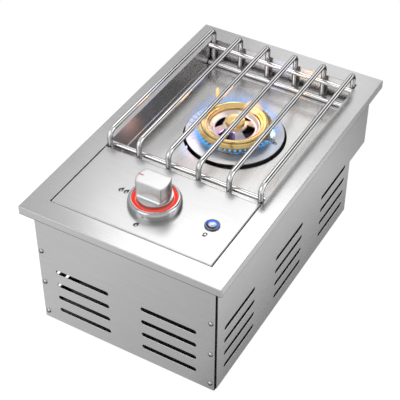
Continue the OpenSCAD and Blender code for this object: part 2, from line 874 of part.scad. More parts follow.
module gas_valve_body() {
    top = flange_h - valve_top;
    color("goldenrod") translate([0, knob_y, 0]) difference() {
        union() {
            translate([0, 0, top - valve_h]) cylinder(r = valve_r, h = valve_h);
            translate([0, 0, top - 1]) cylinder(r = neck_r, h = neck_h + 1);
            block([-ear_l, -ear_w / 2, top - ear_h], [ear_l, ear_w / 2, top]);
            translate([0, 0, outlet_z]) rotate([-90, 0, 0]) cylinder(r = outlet_r, h = outlet_l);
            translate([0, 0, supply_z]) rotate([0, -90, 0]) cylinder(r = supply_boss_r, h = supply_l);
        }
        translate([0, 0, flange_h - bore_low]) cylinder(r = stem_r + run_fit, h = bore_low);
        translate([0, valve_r, outlet_z]) rotate([-90, 0, 0])
            cylinder(r = feed_r - pipe_wall, h = outlet_l);
        translate([-valve_r, 0, supply_z]) rotate([0, -90, 0])
            cylinder(r = supply_r - pipe_wall, h = supply_l);
        for (side = [-1, 1]) {
            translate([side * ear_x, 0, top - ear_h - eps])
                cylinder(r = screw_r + thread_fit, h = ear_h + 2 * eps);
        }
    }
}

module valve_bracket() {
    low = flange_h - valve_top;
    color("silver") translate([0, knob_y, 0]) difference() {
        union() {
            block([-bracket_half, -bracket_w / 2, low], [bracket_half, bracket_w / 2, low + bracket_t]);
            for (side = [0, 180]) {
                rotate([0, 0, side]) {
                    block([bracket_half - bracket_t, -bracket_w / 2, low],
                        [bracket_half, bracket_w / 2, flange_under]);
                    block([bracket_half - bracket_t, -bracket_w / 2, flange_under - bracket_t],
                        [bracket_half + bracket_foot, bracket_w / 2, flange_under]);
                }
            }
        }
        translate([0, 0, low - eps]) cylinder(r = neck_r + slip_fit, h = bracket_t + 2 * eps);
        for (side = [-1, 1]) {
            translate([side * ear_x, 0, low - eps]) cylinder(r = screw_hole_r, h = bracket_t + 2 * eps);
        }
    }
}

module valve_screws() {
    color("gainsboro") for (side = [-1, 1]) {
        translate([side * ear_x, knob_y, flange_h - valve_top + bracket_t])
            screw(screw_head_r, screw_head_h, screw_r, bracket_t + ear_h + 1);
    }
}

// The bulkhead union that the gas supply screws on to, outside the rear panel
module inlet_fitting() {
    inner_l = sheet_t + bulkhead_l;
    color("goldenrod") translate([-inlet_x, lower_back, inlet_h]) rotate([-90, 0, 0]) difference() {
        union() {
            translate([0, 0, -inner_l]) cylinder(r = bulkhead_r, h = inner_l + shoulder_l / 2);
            cylinder(r = shoulder_r, h = shoulder_l, $fn = 6);
            translate([0, 0, shoulder_l]) cylinder(r = thread_r, h = thread_l);
        }
        translate([0, 0, -inner_l - eps])
            cylinder(r = supply_r - pipe_wall, h = inner_l + shoulder_l + thread_l + 2 * eps);
    }
}

module inlet_lock_nut() {
    color("goldenrod") translate([-inlet_x, lower_back - sheet_t, inlet_h]) rotate([90, 0, 0])
        hex(shoulder_r, bulkhead_r, lock_nut_l);
}

// The places of the bezel's screws round the knob
module bezel_screw_places() {
    for (a = [90 : 120 : 330]) {
        translate([bezel_screw_x * cos(a), knob_y + bezel_screw_x * sin(a), 0]) children();
    }
}

module knob_bezel() {
    lean_r = bezel_r - bezel_in - bezel_rim;
    lean_h = bezel_h - 2.5;
    flank = [for (a = [0 : 15 : 90]) [bezel_r - lean_r * (1 - cos(a)), 2.5 + lean_h * sin(a)]];
    color("gainsboro") difference() {
        translate([0, knob_y, flange_h]) rotate_extrude($fn = 96)
            polygon(concat([[knob_hole_r + 1, 0], [bezel_r, 0]], flank,
                [[bezel_in, bezel_h], [bezel_in, bezel_base], [knob_hole_r + 1, bezel_base]]));
        bezel_screw_places() translate([0, 0, flange_h - eps])
            cylinder(r = bezel_screw_r + thread_fit, h = bezel_screw_l - sheet_t + eps, $fn = 24);
    }
}

module bezel_screws() {
    color("gainsboro") bezel_screw_places() translate([0, 0, flange_under]) mirror([0, 0, 1])
        screw(2.8, 1.8, bezel_screw_r, bezel_screw_l - 0.5);
}

module knob_light_board() {
    color("darkgreen") translate([0, knob_y, flange_h])
        ring(glow_r, glow_in, bezel_base, bezel_base + board_t);
}

module knob_light_ring() {
    color("tomato") translate([0, knob_y, flange_h])
        ring(glow_r, glow_in, bezel_base + board_t, glow_top);
}

// The knob: a round skirt and a grip cut flat on both sides, with its long end at the pointer
module knob_grip() {
    color("lightgray") translate([0, knob_y, flange_h]) difference() {
        rotate_extrude($fn = 96) polygon([[0, skirt_low], [knob_r - 0.8, skirt_low],
            [knob_r, skirt_low + 0.8], [knob_r, knob_top - 1.2], [knob_r - 1.2, knob_top], [0, knob_top]]);
        for (side = [0, 180]) {
            rotate([0, 0, side]) {
                block([-knob_r - eps, grip_half, knob_ledge + scoop_r],
                    [knob_r + eps, knob_r + eps, knob_top + eps]);
                block([-knob_r - eps, grip_half + scoop_r, knob_ledge],
                    [knob_r + eps, knob_r + eps, knob_top + eps]);
                translate([-knob_r - eps, grip_half + scoop_r, knob_ledge + scoop_r]) rotate([0, 90, 0])
                    cylinder(r = scoop_r, h = 2 * (knob_r + eps));
            }
        }
        difference() {
            block([knob_r / 2, -knob_r, knob_ledge], [knob_r + eps, knob_r, knob_top + eps]);
            translate([grip_back - grip_back_r, 0, knob_ledge - eps])
                cylinder(r = grip_back_r, h = knob_top, $fn = 96);
        }
        ring(knob_r - 4, stem_r + 4.5, skirt_low - eps, knob_ledge - 5);
        difference() {
            translate([0, 0, skirt_low - eps])
                cylinder(r = stem_r + thread_fit, h = stem_top - skirt_low + eps);
            block([-stem_r, stem_r - stem_flat + thread_fit, 0], [stem_r, stem_r + eps, knob_top]);
        }
        pointer_shape();
    }
}

module pointer_shape() {
    block([-pointer_out, -pointer_w / 2, knob_top - 0.6], [-pointer_in, pointer_w / 2, knob_top + 0.1]);
}

module knob_pointer() {
    color("mistyrose") translate([0, knob_y, flange_h]) pointer_shape();
}

module valve_stem() {
    color("silver") translate([0, knob_y, flange_h]) difference() {
        translate([0, 0, -stem_low]) cylinder(r = stem_r, h = stem_low + stem_top);
        block([-stem_r, stem_r - stem_flat, skirt_low - eps], [stem_r, stem_r + eps, stem_top + eps]);
    }
}

// The collar that goes down with the stem and doesn't turn
module stem_collar() {
    color("silver") translate([0, knob_y, flange_h])
        ring(collar_r, stem_r + run_fit, -collar_low, collar_h - collar_low);
}

module button_housing() {
    color("gainsboro") translate([button_x, knob_y, flange_h]) difference() {
        union() {
            rotate_extrude() polygon([[0, 0], [button_bezel_r, 0], [button_bezel_r, 1],
                [button_bezel_r - 1, button_flange_h], [0, button_flange_h]]);
            translate([0, 0, -button_barrel_l]) cylinder(r = button_barrel_r, h = button_barrel_l + 1);
        }
        translate([0, 0, -button_low - button_travel - 0.5])
            cylinder(r = button_cap_r + slip_fit, h = button_low + button_flange_h + 3);
        translate([0, 0, button_flange_h - 2])
            cylinder(r = button_cap_r + slip_fit + button_glow_w, h = 2 + eps);
    }
}

module button_light_ring() {
    color("royalblue") translate([button_x, knob_y, flange_h])
        ring(button_cap_r + slip_fit + button_glow_w, button_cap_r + slip_fit,
            button_flange_h - 2, button_flange_h - 0.3);
}

module button_cap() {
    dish_r = 14;
    color("silver") translate([button_x, knob_y, flange_h]) difference() {
        translate([0, 0, -button_low]) cylinder(r = button_cap_r, h = button_low + button_flange_h);
        translate([0, 0, button_flange_h + dish_r - 0.6]) sphere(r = dish_r, $fn = 64);
    }
}

module button_nut() {
    color("silver") translate([button_x, knob_y, flange_under - button_nut_h])
        hex(button_nut_r, button_barrel_r, button_nut_h);
}

module piezo_igniter() {
    color("whitesmoke") translate([0, piezo_y, piezo_low]) cylinder(r = piezo_r, h = piezo_h);
}

module electrode_ceramic() {
    color("white") translate([electrode_x, electrode_y, ceramic_low])
        cylinder(r = ceramic_r, h = ceramic_top - ceramic_low);
}

module electrode_tip() {
    color("silver") translate([electrode_x, electrode_y, ceramic_top]) {
        cylinder(r = tip_r, h = tip_h, $fn = 24);
        translate([0, 0, tip_h]) sphere(r = tip_r, $fn = 24);
    }
}

// The tab under the burner plate that clamps the electrode
module electrode_bracket() {
    color("silver") difference() {
        translate([0, burner_y, 0]) rotate([0, 0, tab_angle])
            block([tab_at - tab_l / 2, -tab_w / 2, plate_z - plate_t - 1.5],
                [tab_at + tab_l / 2, tab_w / 2, plate_z - plate_t]);
        translate([electrode_x, electrode_y, plate_z - plate_t - 2]) cylinder(r = ceramic_r, h = 3);
        electrode_screw_place() translate([0, 0, -plate_t - 2])
            cylinder(r = screw_r + thread_fit, h = 3);
    }
}

module electrode_screw_place() {
    translate([electrode_screw_at * cos(electrode_screw_angle),
        burner_y + electrode_screw_at * sin(electrode_screw_angle), plate_z]) children();
}

module electrode_screw() {
    color("gainsboro") electrode_screw_place() screw(3.4, 2.2, screw_r, plate_t + 5);
}

module igniter_lead() {
    color("orangered") bent_rod([[0, piezo_y, piezo_low], [0, piezo_y, lead_z],
        [electrode_x, piezo_y, lead_z], [electrode_x, electrode_y, lead_z],
        [electrode_x, electrode_y, ceramic_low]], lead_r, lead_bend, $fn = 24);
}

module power_inlet() {
    color("black") translate([button_x, lower_back, inlet_h]) rotate([-90, 0, 0]) {
        difference() {
            union() {
                translate([0, 0, -sheet_t - jack_l]) cylinder(r = jack_r, h = jack_l + sheet_t + 1);
                cylinder(r = jack_flange_r, h = jack_flange_t);
            }
            translate([0, 0, jack_flange_t - jack_bore_l]) cylinder(r = jack_bore_r, h = jack_bore_l + eps);
        }
        translate([0, 0, jack_flange_t - jack_bore_l - 1]) cylinder(r = jack_pin_r, h = jack_bore_l);
    }
}

module light_lead() {
    start_y = lower_back - sheet_t - jack_l;
    drop_y = start_y - lead_set_back;
    floor_run = sheet_t + light_lead_r;
    color("dimgray") bent_rod([[button_x, start_y, inlet_h], [button_x, drop_y, inlet_h],
        [button_x, drop_y, floor_run], [button_x, knob_y, floor_run],
        [button_x, knob_y, flange_h - button_barrel_l]], light_lead_r, lead_bend, $fn = 24);
}

// One bent rod of the grate, counted from the left
module grate_rod(number) {
    x = (number - (rod_count + 1) / 2) * rod_pitch;
    color("lightgray") bent_rod([[x, leg_front, floor_z], [x, leg_front, rod_z],
        [x, leg_back, rod_z], [x, leg_back, floor_z]], rod_r, rod_bend);
}

module grate_rod_1() {
    grate_rod(1);
}

module grate_rod_2() {
    grate_rod(2);
}

module grate_rod_3() {
    grate_rod(3);
}

module grate_rod_4() {
    grate_rod(4);
}

module grate_rod_5() {
    grate_rod(5);
}

module grate_rod_6() {
    grate_rod(6);
}

// A straight rail across all the rods, welded to the inner side of their legs
module cross_rail(y, z) {
    color("lightgray") bar([-rail_half, y, z], [rail_half, y, z], rod_r);
}

module front_top_rail() {
    cross_rail(leg_front + rail_in, top_rail_z);
}

module rear_top_rail() {
    cross_rail(leg_back - rail_in, top_rail_z);
}

module front_low_rail() {
    cross_rail(leg_front + rail_in, low_rail_z);
}

module rear_low_rail() {
    cross_rail(leg_back - rail_in, low_rail_z);
}

top_frame();
control_panel();
panel_rear_rail();
burner_pan();
front_panel();
left_side_panel();
right_side_panel();
left_corner_post();
right_corner_post();
rear_panel();
base_panel();
front_panel_screws();
burner_cradle();
burner_body();
burner_screws();
burner_plate();
inner_cup();
mixing_tube();
gas_jet();
gas_feed_pipe();
pipe_nuts();
gas_valve_body();
valve_bracket();
valve_screws();
gas_inlet_pipe();
inlet_fitting();
inlet_lock_nut();
knob_bezel();
bezel_screws();
knob_light_board();
knob_light_ring();
button_housing();
button_light_ring();
button_nut();
piezo_igniter();
electrode_ceramic();
electrode_tip();
electrode_bracket();
electrode_screw();
igniter_lead();
power_inlet();
light_lead();
knob_grip();
knob_pointer();
valve_stem();
stem_collar();
button_cap();
air_shutter();
flame_ring();
centre_cap();
grate_rod_1();
grate_rod_2();
grate_rod_3();
grate_rod_4();
grate_rod_5();
grate_rod_6();
front_top_rail();
rear_top_rail();
front_low_rail();
rear_low_rail();
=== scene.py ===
import math
import random

import bmesh
import bpy
from mathutils import Matrix, Vector


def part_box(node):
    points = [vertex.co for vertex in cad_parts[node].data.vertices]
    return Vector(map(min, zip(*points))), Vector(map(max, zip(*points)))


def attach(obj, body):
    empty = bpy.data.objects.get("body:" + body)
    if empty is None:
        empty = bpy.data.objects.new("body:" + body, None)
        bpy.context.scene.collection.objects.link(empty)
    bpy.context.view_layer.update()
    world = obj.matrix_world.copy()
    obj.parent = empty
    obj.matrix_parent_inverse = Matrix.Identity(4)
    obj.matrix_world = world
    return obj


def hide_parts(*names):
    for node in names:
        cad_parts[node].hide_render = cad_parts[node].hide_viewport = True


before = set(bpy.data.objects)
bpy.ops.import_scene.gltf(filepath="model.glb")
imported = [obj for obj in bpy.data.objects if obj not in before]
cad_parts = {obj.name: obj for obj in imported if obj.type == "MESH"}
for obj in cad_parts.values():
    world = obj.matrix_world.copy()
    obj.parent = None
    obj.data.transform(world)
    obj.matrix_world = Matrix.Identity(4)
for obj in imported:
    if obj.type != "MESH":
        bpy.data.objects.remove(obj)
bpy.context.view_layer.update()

# The photographer's table: a pale floor in a white surround, with two small soft lamps behind and above the
# burner and two wide ones in front and to the right. The camera stands front right and looks down 42 degrees.
scene = bpy.context.scene
scene.view_settings.view_transform = "Standard"
MM = 0.001
CAMERA_PLACE = (0.6226, -1.1268, 1.2606)
CAMERA_YAW = math.radians(29.73)
CAMERA_TILT = math.radians(48.03)
CAMERA_ROLL = math.radians(0.19)
CAMERA_LENS = 101.6
ROOM_LIGHT = 0.55
DARK_CORNER = Vector((0.37, 0.65, 0.67)).normalized()
DARK_CORNER_EDGE = (0.9, 0.965)
DARK_CORNER_COLOUR = (0.045, 0.045, 0.045)
CEILING_TONE = 0.73
CEILING_SPAN = (0.1, 0.5)
BRIGHT_QUARTER = Vector((0.72, 0.62, 0.3)).normalized()
BRIGHT_QUARTER_EDGE = (0.78, 0.92)
BRIGHT_TONE = 1.4
FLOOR_HALF = 12.0
FLOOR_COLOUR = (0.86, 0.86, 0.86, 1)
FLOOR_SEEN_WHITE = 0.85
FLOOR_GLOSS_WHITE = 0.6
# Painted light and shade on the floor, seen only in reflections: tones across X, darkest in a painted shadow
# just right of the burner, and more light in front than at the back.
FLOOR_SPAN = (-0.3, 0.5)
FLOOR_PAINTED_TONES = ((0.0, 0.82), (0.19, 0.82), (0.5, 0.56), (0.56, 0.3), (0.7, 0.86), (1.0, 0.9))
FLOOR_STRENGTH = 1.35
FLOOR_BACK_STRENGTH = 0.55
FLOOR_BACK = (0.26, 0.46)

camera = bpy.data.objects.new("camera", bpy.data.cameras.new("camera"))
scene.collection.objects.link(camera)
camera.matrix_world = (Matrix.Translation(CAMERA_PLACE) @ Matrix.Rotation(CAMERA_YAW, 4, "Z")
                       @ Matrix.Rotation(CAMERA_TILT, 4, "X") @ Matrix.Rotation(CAMERA_ROLL, 4, "Z"))
camera.data.sensor_width = 36
camera.data.lens = CAMERA_LENS
camera.data.clip_end = 60
scene.camera = camera


def feed(tree, socket, value):
    """Gives a socket its value, or links it to another node's output."""
    if isinstance(value, bpy.types.NodeSocket):
        tree.links.new(value, socket)
    else:
        socket.default_value = value


def fill(tree, node, **sockets):
    """Feeds a node's named sockets."""
    for key, value in sockets.items():
        feed(tree, node.inputs[key.replace("_", " ")], value)


def add(tree, kind, **settings):
    """A new node of a shader tree, with its own settings and its named sockets filled."""
    node = tree.nodes.new(kind)
    for key, value in settings.items():
        if key.replace("_", " ") in node.inputs:
            fill(tree, node, **{key: value})
        else:
            setattr(node, key, value)
    return node


def calculate(tree, operation, first, second, third=0.0):
    """One sum of a shader tree. Each of its terms is a number or another node's output."""
    node = add(tree, "ShaderNodeMath", operation=operation)
    for socket, term in zip(node.inputs, (first, second, third)):
        feed(tree, socket, term)
    return node.outputs[0]


def white_rays(tree):
    """1 for the rays that see the surround itself: from the camera, off gloss and through glass."""
    path = add(tree, "ShaderNodeLightPath")
    gloss = calculate(tree, "MAXIMUM", path.outputs["Is Camera Ray"], path.outputs["Is Glossy Ray"])
    return calculate(tree, "MAXIMUM", gloss, path.outputs["Is Transmission Ray"])


def blended(tree, mask, dark, light):
    """A colour that goes from dark to light as the mask goes from 0 to 1. Both are colours or outputs."""
    mix = add(tree, "ShaderNodeMix", data_type="RGBA")
    for socket, colour in ((mix.inputs["A"], dark), (mix.inputs["B"], light)):
        feed(tree, socket, (*colour, 1) if isinstance(colour, tuple) else colour)
    feed(tree, mix.inputs["Factor"], mask)
    return mix.outputs["Result"]


def ranged(tree, value, low, high, start=0.0, end=1.0, curve="LINEAR"):
    """A value between start and end taken to a range from low to high."""
    span = add(tree, "ShaderNodeMapRange", interpolation_type=curve, Value=value, From_Min=start,
               From_Max=end, To_Min=low, To_Max=high)
    return span.outputs[0]


def vector_maths(tree, operation, vector, term=(0, 0, 0)):
    """A vector after one operation. Its second term is a constant or another node's output."""
    node = add(tree, "ShaderNodeVectorMath", operation=operation)
    feed(tree, node.inputs[0], vector)
    feed(tree, node.inputs[1], term)
    return node.outputs["Value" if operation in ("DOT_PRODUCT", "LENGTH") else "Vector"]


def parts_of(tree, vector):
    """The X, Y and Z of a vector."""
    return add(tree, "ShaderNodeSeparateXYZ", Vector=vector).outputs


def end_tree(tree, mask, first, second, output):
    """Ends a tree in a mix of two shaders: the first where the mask is 0 and the second where it is 1."""
    mix = add(tree, "ShaderNodeMixShader")
    for source, socket in zip((mask, first.outputs[0], second.outputs[0]), mix.inputs):
        tree.links.new(source, socket)
    tree.links.new(mix.outputs[0], add(tree, output).inputs[0])


def in_scene(name, data):
    """A new object of the scene."""
    thing = bpy.data.objects.new(name, data)
    scene.collection.objects.link(thing)
    return thing


def make_surround():
    """White where it is seen and weaker as a light. Gloss picks up an unlit corner and a bright quarter."""
    world = bpy.data.worlds.new("surround")
    world.use_nodes = True
    tree = world.node_tree
    tree.nodes.clear()
    way = add(tree, "ShaderNodeTexCoord").outputs["Generated"]
    gloss = add(tree, "ShaderNodeLightPath").outputs["Is Glossy Ray"]
    to_corner = vector_maths(tree, "DOT_PRODUCT", way, DARK_CORNER)
    corner = ranged(tree, to_corner, 0.0, 1.0, *DARK_CORNER_EDGE, "SMOOTHSTEP")
    ceiling = ranged(tree, parts_of(tree, way)["Z"], 1.0, CEILING_TONE, *CEILING_SPAN)
    to_quarter = vector_maths(tree, "DOT_PRODUCT", way, BRIGHT_QUARTER)
    bright = ranged(tree, to_quarter, 0.0, BRIGHT_TONE, *BRIGHT_QUARTER_EDGE, "SMOOTHSTEP")
    lit = blended(tree, gloss, (1, 1, 1), calculate(tree, "MAXIMUM", ceiling, bright))
    seen = blended(tree, calculate(tree, "MULTIPLY", corner, gloss), lit, DARK_CORNER_COLOUR)
    white = add(tree, "ShaderNodeBackground", Color=seen, Strength=1.0)
    room = add(tree, "ShaderNodeBackground", Color=(1, 1, 1, 1), Strength=ROOM_LIGHT)
    end_tree(tree, white_rays(tree), room, white, "ShaderNodeOutputWorld")
    scene.world = world


def make_floor():
    """A pale floor, white where it is seen. Reflections show painted light and shade on it: a painted shadow
    just right of the burner, and dimmer towards the back.
    """
    mesh = bpy.data.meshes.new("floor")
    corners = [(x * FLOOR_HALF, y * FLOOR_HALF, 0) for x, y in ((-1, -1), (1, -1), (1, 1), (-1, 1))]
    mesh.from_pydata(corners, [], [(0, 1, 2, 3)])
    floor = in_scene("floor", mesh)
    material = bpy.data.materials.new("floor")
    material.use_nodes = True
    tree = material.node_tree
    tree.nodes.clear()
    camera_ray = add(tree, "ShaderNodeLightPath").outputs["Is Camera Ray"]
    place = parts_of(tree, add(tree, "ShaderNodeNewGeometry").outputs["Position"])
    painted_tones = add(tree, "ShaderNodeValToRGB")
    tree.links.new(ranged(tree, place["X"], 0.0, 1.0, *FLOOR_SPAN), painted_tones.inputs[0])
    ramp = painted_tones.color_ramp.elements
    for step, (stop, tone) in enumerate(FLOOR_PAINTED_TONES):
        inside = 0 < step < len(FLOOR_PAINTED_TONES) - 1
        element = ramp.new(stop) if inside else ramp[0 if step == 0 else -1]
        element.color = (tone, tone, tone, 1)
    back = ranged(tree, place["Y"], FLOOR_STRENGTH, FLOOR_BACK_STRENGTH, *FLOOR_BACK)
    pool = calculate(tree, "MULTIPLY", painted_tones.outputs["Color"], back)
    lit = calculate(tree, "MAXIMUM", pool, camera_ray)
    seen = calculate(tree, "MULTIPLY", camera_ray, FLOOR_SEEN_WHITE)
    mask = calculate(tree, "MULTIPLY_ADD", white_rays(tree), FLOOR_GLOSS_WHITE, seen)
    matt = add(tree, "ShaderNodeBsdfDiffuse", Color=FLOOR_COLOUR)
    white = add(tree, "ShaderNodeEmission", Color=(1, 1, 1, 1), Strength=lit)
    end_tree(tree, mask, matt, white, "ShaderNodeOutputMaterial")
    mesh.materials.append(material)


def softbox(name, place, towards, width, depth, power):
    """A soft lamp that faces a point."""
    data = bpy.data.lights.new(name, "AREA")
    data.shape = "RECTANGLE"
    data.energy = power
    data.size = width
    data.size_y = depth
    light = in_scene(name, data)
    light.location = place
    light.rotation_euler = (Vector(towards) - Vector(place)).to_track_quat("-Z", "Y").to_euler()


make_surround()
make_floor()
softbox("rear_softbox", (-0.28, 0.55, 1.15), (0.05, -0.05, 0.2), 0.6, 0.46, 1.65)
softbox("far_softbox", (-0.45, 1.5, 1.15), (0.0, 0.2, 0.2), 0.4, 0.4, 0.4)
softbox("front_softbox", (-0.6, -1.7, 1.3), (0, 0, 0.1), 1.4, 1.4, 9)
softbox("right_softbox", (1.9, 0.3, 1.0), (0.1, 0, 0.1), 1.2, 1.2, 6)

# The folded box: base, stepped back, two sides and the front, all 1 mm stainless sheet with fine straight
# brushing. The sheets are laser cut and bent, and held by spot welds and by corner angles at the front.
SHEET_COLOUR = (0.53, 0.53, 0.535)
FOLD_RADIUS = 0.6
CUT_RADIUS = 0.2
SLOT_ZONE_LOW = 15
SLOT_ZONE_HIGH = 115
SLOT_ZONE_BACK = 175
SHARP_FOLD = 0.7
UNEVEN_GLOSS = 0.07


def make_group(name, inputs, outputs):
    """An empty node group with its sockets, its input node and its output node."""
    group = bpy.data.node_groups.new(name, "ShaderNodeTree")
    for label, kind, default in inputs:
        socket = group.interface.new_socket(name=label, in_out="INPUT", socket_type=kind)
        socket.default_value = default
    for label in outputs:
        group.interface.new_socket(name=label, in_out="OUTPUT", socket_type="NodeSocketFloat")
    return group, add(group, "NodeGroupInput"), add(group, "NodeGroupOutput")


def object_place(tree):
    """The place on an object, in metres."""
    return add(tree, "ShaderNodeTexCoord").outputs["Object"]


def object_noise(tree, scale, detail, roughness=0.5):
    """Noise that is fixed to the object, with scale as its grains per metre."""
    noise = add(tree, "ShaderNodeTexNoise", Vector=object_place(tree), Scale=scale, Detail=detail,
                Roughness=roughness)
    return noise.outputs["Fac"]


def make_brushing():
    """Fine straight scratches and broad cloudy patches, from 0 to 1. Stretch is their number per metre."""
    group, given, out = make_group(
        "brushing", [("Stretch", "NodeSocketVector", (30, 900, 900))], ["Scratches", "Clouds"])
    scaled = vector_maths(group, "MULTIPLY", object_place(group), given.outputs["Stretch"])
    fine = add(group, "ShaderNodeTexNoise", Vector=scaled, Scale=1.0, Detail=3.0, Roughness=0.6)
    scratches = ranged(group, fine.outputs["Fac"], 0.0, 1.0, 0.3, 0.7)
    fill(group, out, Scratches=scratches, Clouds=object_noise(group, 9.0, 2.0))
    return group


BRUSHING = make_brushing()


def new_material(name):
    """A material with a Principled shader, and its tree and shader."""
    material = bpy.data.materials.new(name)
    material.use_nodes = True
    tree = material.node_tree
    return material, tree, tree.nodes["Principled BSDF"]


def shaded(colour, share):
    """A colour made darker or lighter by a share."""
    return tuple(min(1.0, c * share) for c in colour)


def bump(tree, height, shader, strength, distance):
    """Relief from a height output, over a distance in mm."""
    node = add(tree, "ShaderNodeBump", Strength=strength, Distance=distance * MM, Height=height)
    fill(tree, shader, Normal=node.outputs[0])


def brushed_metal(name, colour, roughness, stretch, contrast=0.04, depth=0.004):
    """Bare metal with straight brushing: stretch is low along the brushing and high across it."""
    material, tree, shader = new_material(name)
    brushing = add(tree, "ShaderNodeGroup", node_tree=BRUSHING, Stretch=stretch)
    scratches = brushing.outputs["Scratches"]
    tint = blended(tree, scratches, shaded(colour, 1 - contrast), shaded(colour, 1 + contrast))
    rough = ranged(tree, brushing.outputs["Clouds"], roughness - UNEVEN_GLOSS, roughness + UNEVEN_GLOSS)
    fill(tree, shader, Metallic=1, Base_Color=tint, Roughness=rough)
    bump(tree, scratches, shader, depth, 0.1)
    return material


def paint(material, slot, *nodes):
    """Gives CAD nodes that stay a material."""
    for name in nodes:
        mesh_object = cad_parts[name]
        mesh_object.data.materials.clear()
        mesh_object.data.materials.append(material)


def settle(piece, body, slot, material, *nodes):
    """Puts a finished piece on its body, with its material, in the place of its CAD nodes."""
    piece.data.materials.clear()
    piece.data.materials.append(material)
    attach(piece, body)
    if nodes:
        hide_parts(*nodes)
    return piece


def new_piece(name, bm, crease=30):
    """An object from a bmesh, smooth apart from edges sharper than the crease angle."""
    mesh = bpy.data.meshes.new(name)
    bmesh.ops.recalc_face_normals(bm, faces=bm.faces)
    bm.to_mesh(mesh)
    bm.free()
    mesh.shade_smooth()
    mesh.set_sharp_from_angle(angle=math.radians(crease))
    return in_scene(name, mesh)


def corners_of(node):
    """A CAD node's lowest and highest corners, in mm."""
    low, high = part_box(node)
    return Vector(low) / MM, Vector(high) / MM


def near(a, b):
    """Whether two places are the same, in mm."""
    return abs(a - b) < 0.02


def at_either(place, low, high):
    """Whether a place is at one of two ends, in mm."""
    return near(place, low) or near(place, high)


def folded_sheet(node, *rules):
    """A CAD sheet with rounded folds. Each rule is a radius, its steps and a test of an edge's middle."""
    bm = bmesh.new()
    bm.from_mesh(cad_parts[node].data)
    bmesh.ops.remove_doubles(bm, verts=bm.verts, dist=0.001 * MM)
    bmesh.ops.dissolve_limit(bm, angle_limit=math.radians(0.5), verts=bm.verts, edges=bm.edges)
    for radius, steps, test in rules:
        edges = [e for e in bm.edges if e.is_manifold and e.calc_face_angle() > SHARP_FOLD
                 and test((e.verts[0].co + e.verts[1].co) / 2 / MM)]
        bmesh.ops.bevel(bm, geom=edges, offset=radius * MM, segments=steps, profile=0.5, affect="EDGES",
                        clamp_overlap=True)
    piece = new_piece(node + "_sheet", bm, 25)
    piece.modifiers.new("flat_faces", "WEIGHTED_NORMAL").keep_sharp = True
    return piece


def make_box_sheets():
    """Front and side panels, with the rims of their slots eased and the front's two long folds rounded."""
    low, high = corners_of("front_panel")

    def front_fold(p):
        return near(p.y, low.y) and at_either(p.x, low.x, high.x)

    def front_slot(p):
        return near(p.y, low.y) and abs(p.x) < high.x - 10 and SLOT_ZONE_LOW < p.z < SLOT_ZONE_HIGH

    front = folded_sheet("front_panel", (FOLD_RADIUS, 3, front_fold), (CUT_RADIUS, 1, front_slot))
    settle(front, "housing", "sheet_steel", SHEET_ALONG_X, "front_panel")
    for node, side in (("left_side_panel", -1), ("right_side_panel", 1)):
        low, high = corners_of(node)
        outer = high.x if side > 0 else low.x

        def side_slot(p, outer=outer, front=low.y):
            return (near(p.x, outer) and front + 10 < p.y < SLOT_ZONE_BACK
                    and SLOT_ZONE_LOW < p.z < SLOT_ZONE_HIGH)

        panel = folded_sheet(node, (CUT_RADIUS, 1, side_slot))
        settle(panel, "housing", "sheet_steel", SHEET_ALONG_Y, node)


SHEET_ALONG_X = brushed_metal("sheet_along_x", SHEET_COLOUR, 0.3, (25, 700, 700))
SHEET_ALONG_Y = brushed_metal("sheet_along_y", SHEET_COLOUR, 0.3, (700, 25, 700))
make_box_sheets()
MILL_SHEET = brushed_metal("mill_sheet", (0.2, 0.2, 0.2), 0.45, (12, 90, 90), 0.03)
paint(SHEET_ALONG_X, "sheet_steel", "rear_panel")
paint(MILL_SHEET, "sheet_steel", "base_panel", "left_corner_post", "right_corner_post")

# The front screws: plated pan heads with a cross recess, three down each side, cut into the corner angles.
# The colour of the painted dark reflections and painted shade laid over the metal.
PAINTED_DARK_COLOUR = (0.06, 0.06, 0.06)
PAINTED_DARK_SIDE_WAY = (0.55, 0.0, -0.83)


def overlay(material, keep, colour):
    """Lays a colour over the material's own, except where keep is 1."""
    tree = material.node_tree
    shader = tree.nodes["Principled BSDF"]
    tone = shader.inputs["Base Color"].links[0].from_socket
    fill(tree, shader, Base_Color=blended(tree, keep, colour, tone))


def paint_dark_edge_reflection(material, start, end):
    """Painted dark edges: a painted reflection of an unlit room at grazing angles, as polished round bars
    show.
    """
    tree = material.node_tree
    facing = add(tree, "ShaderNodeLayerWeight", Blend=0.5).outputs["Facing"]
    overlay(material, ranged(tree, facing, 1.0, 0.0, start, end), PAINTED_DARK_COLOUR)


def paint_dark_side_reflection(material, way, start, end):
    """A painted dark side towards one way: a painted reflection of dark ground, as a polished dome shows
    there.
    """
    tree = material.node_tree
    normal = add(tree, "ShaderNodeNewGeometry").outputs["Normal"]
    turned = vector_maths(tree, "DOT_PRODUCT", normal, way)
    overlay(material, ranged(tree, turned, 1.0, 0.0, start, end), PAINTED_DARK_COLOUR)


SCREW_STEEL = brushed_metal("screw_steel", (0.46, 0.46, 0.46), 0.14, (400, 400, 400), 0.1)
# Painted reflections on the screw heads: dark edges and a dark lower right side.
paint_dark_edge_reflection(SCREW_STEEL, 0.3, 0.52)
paint_dark_side_reflection(SCREW_STEEL, PAINTED_DARK_SIDE_WAY, -0.12, 0.28)
paint(SCREW_STEEL, "screw_steel", "front_panel_screws")

# The top frame: one folded flange of brushed stainless. Its skirt is turned down and meets at a seam in each
# corner, a return under the skirt rests on the counter, and a ledge inside carries the control panel.
FRAME_COLOUR = (0.53, 0.53, 0.53)
FRAME_RADIUS = 1.3
FRAME_STEEL = brushed_metal("frame_steel", FRAME_COLOUR, 0.26, (28, 800, 800), 0.05)
# Height and fade of the painted shade line along the skirt's hem.
HEM_SHADE_LINE = 1.4
HEM_SHADE_FADE = 0.3


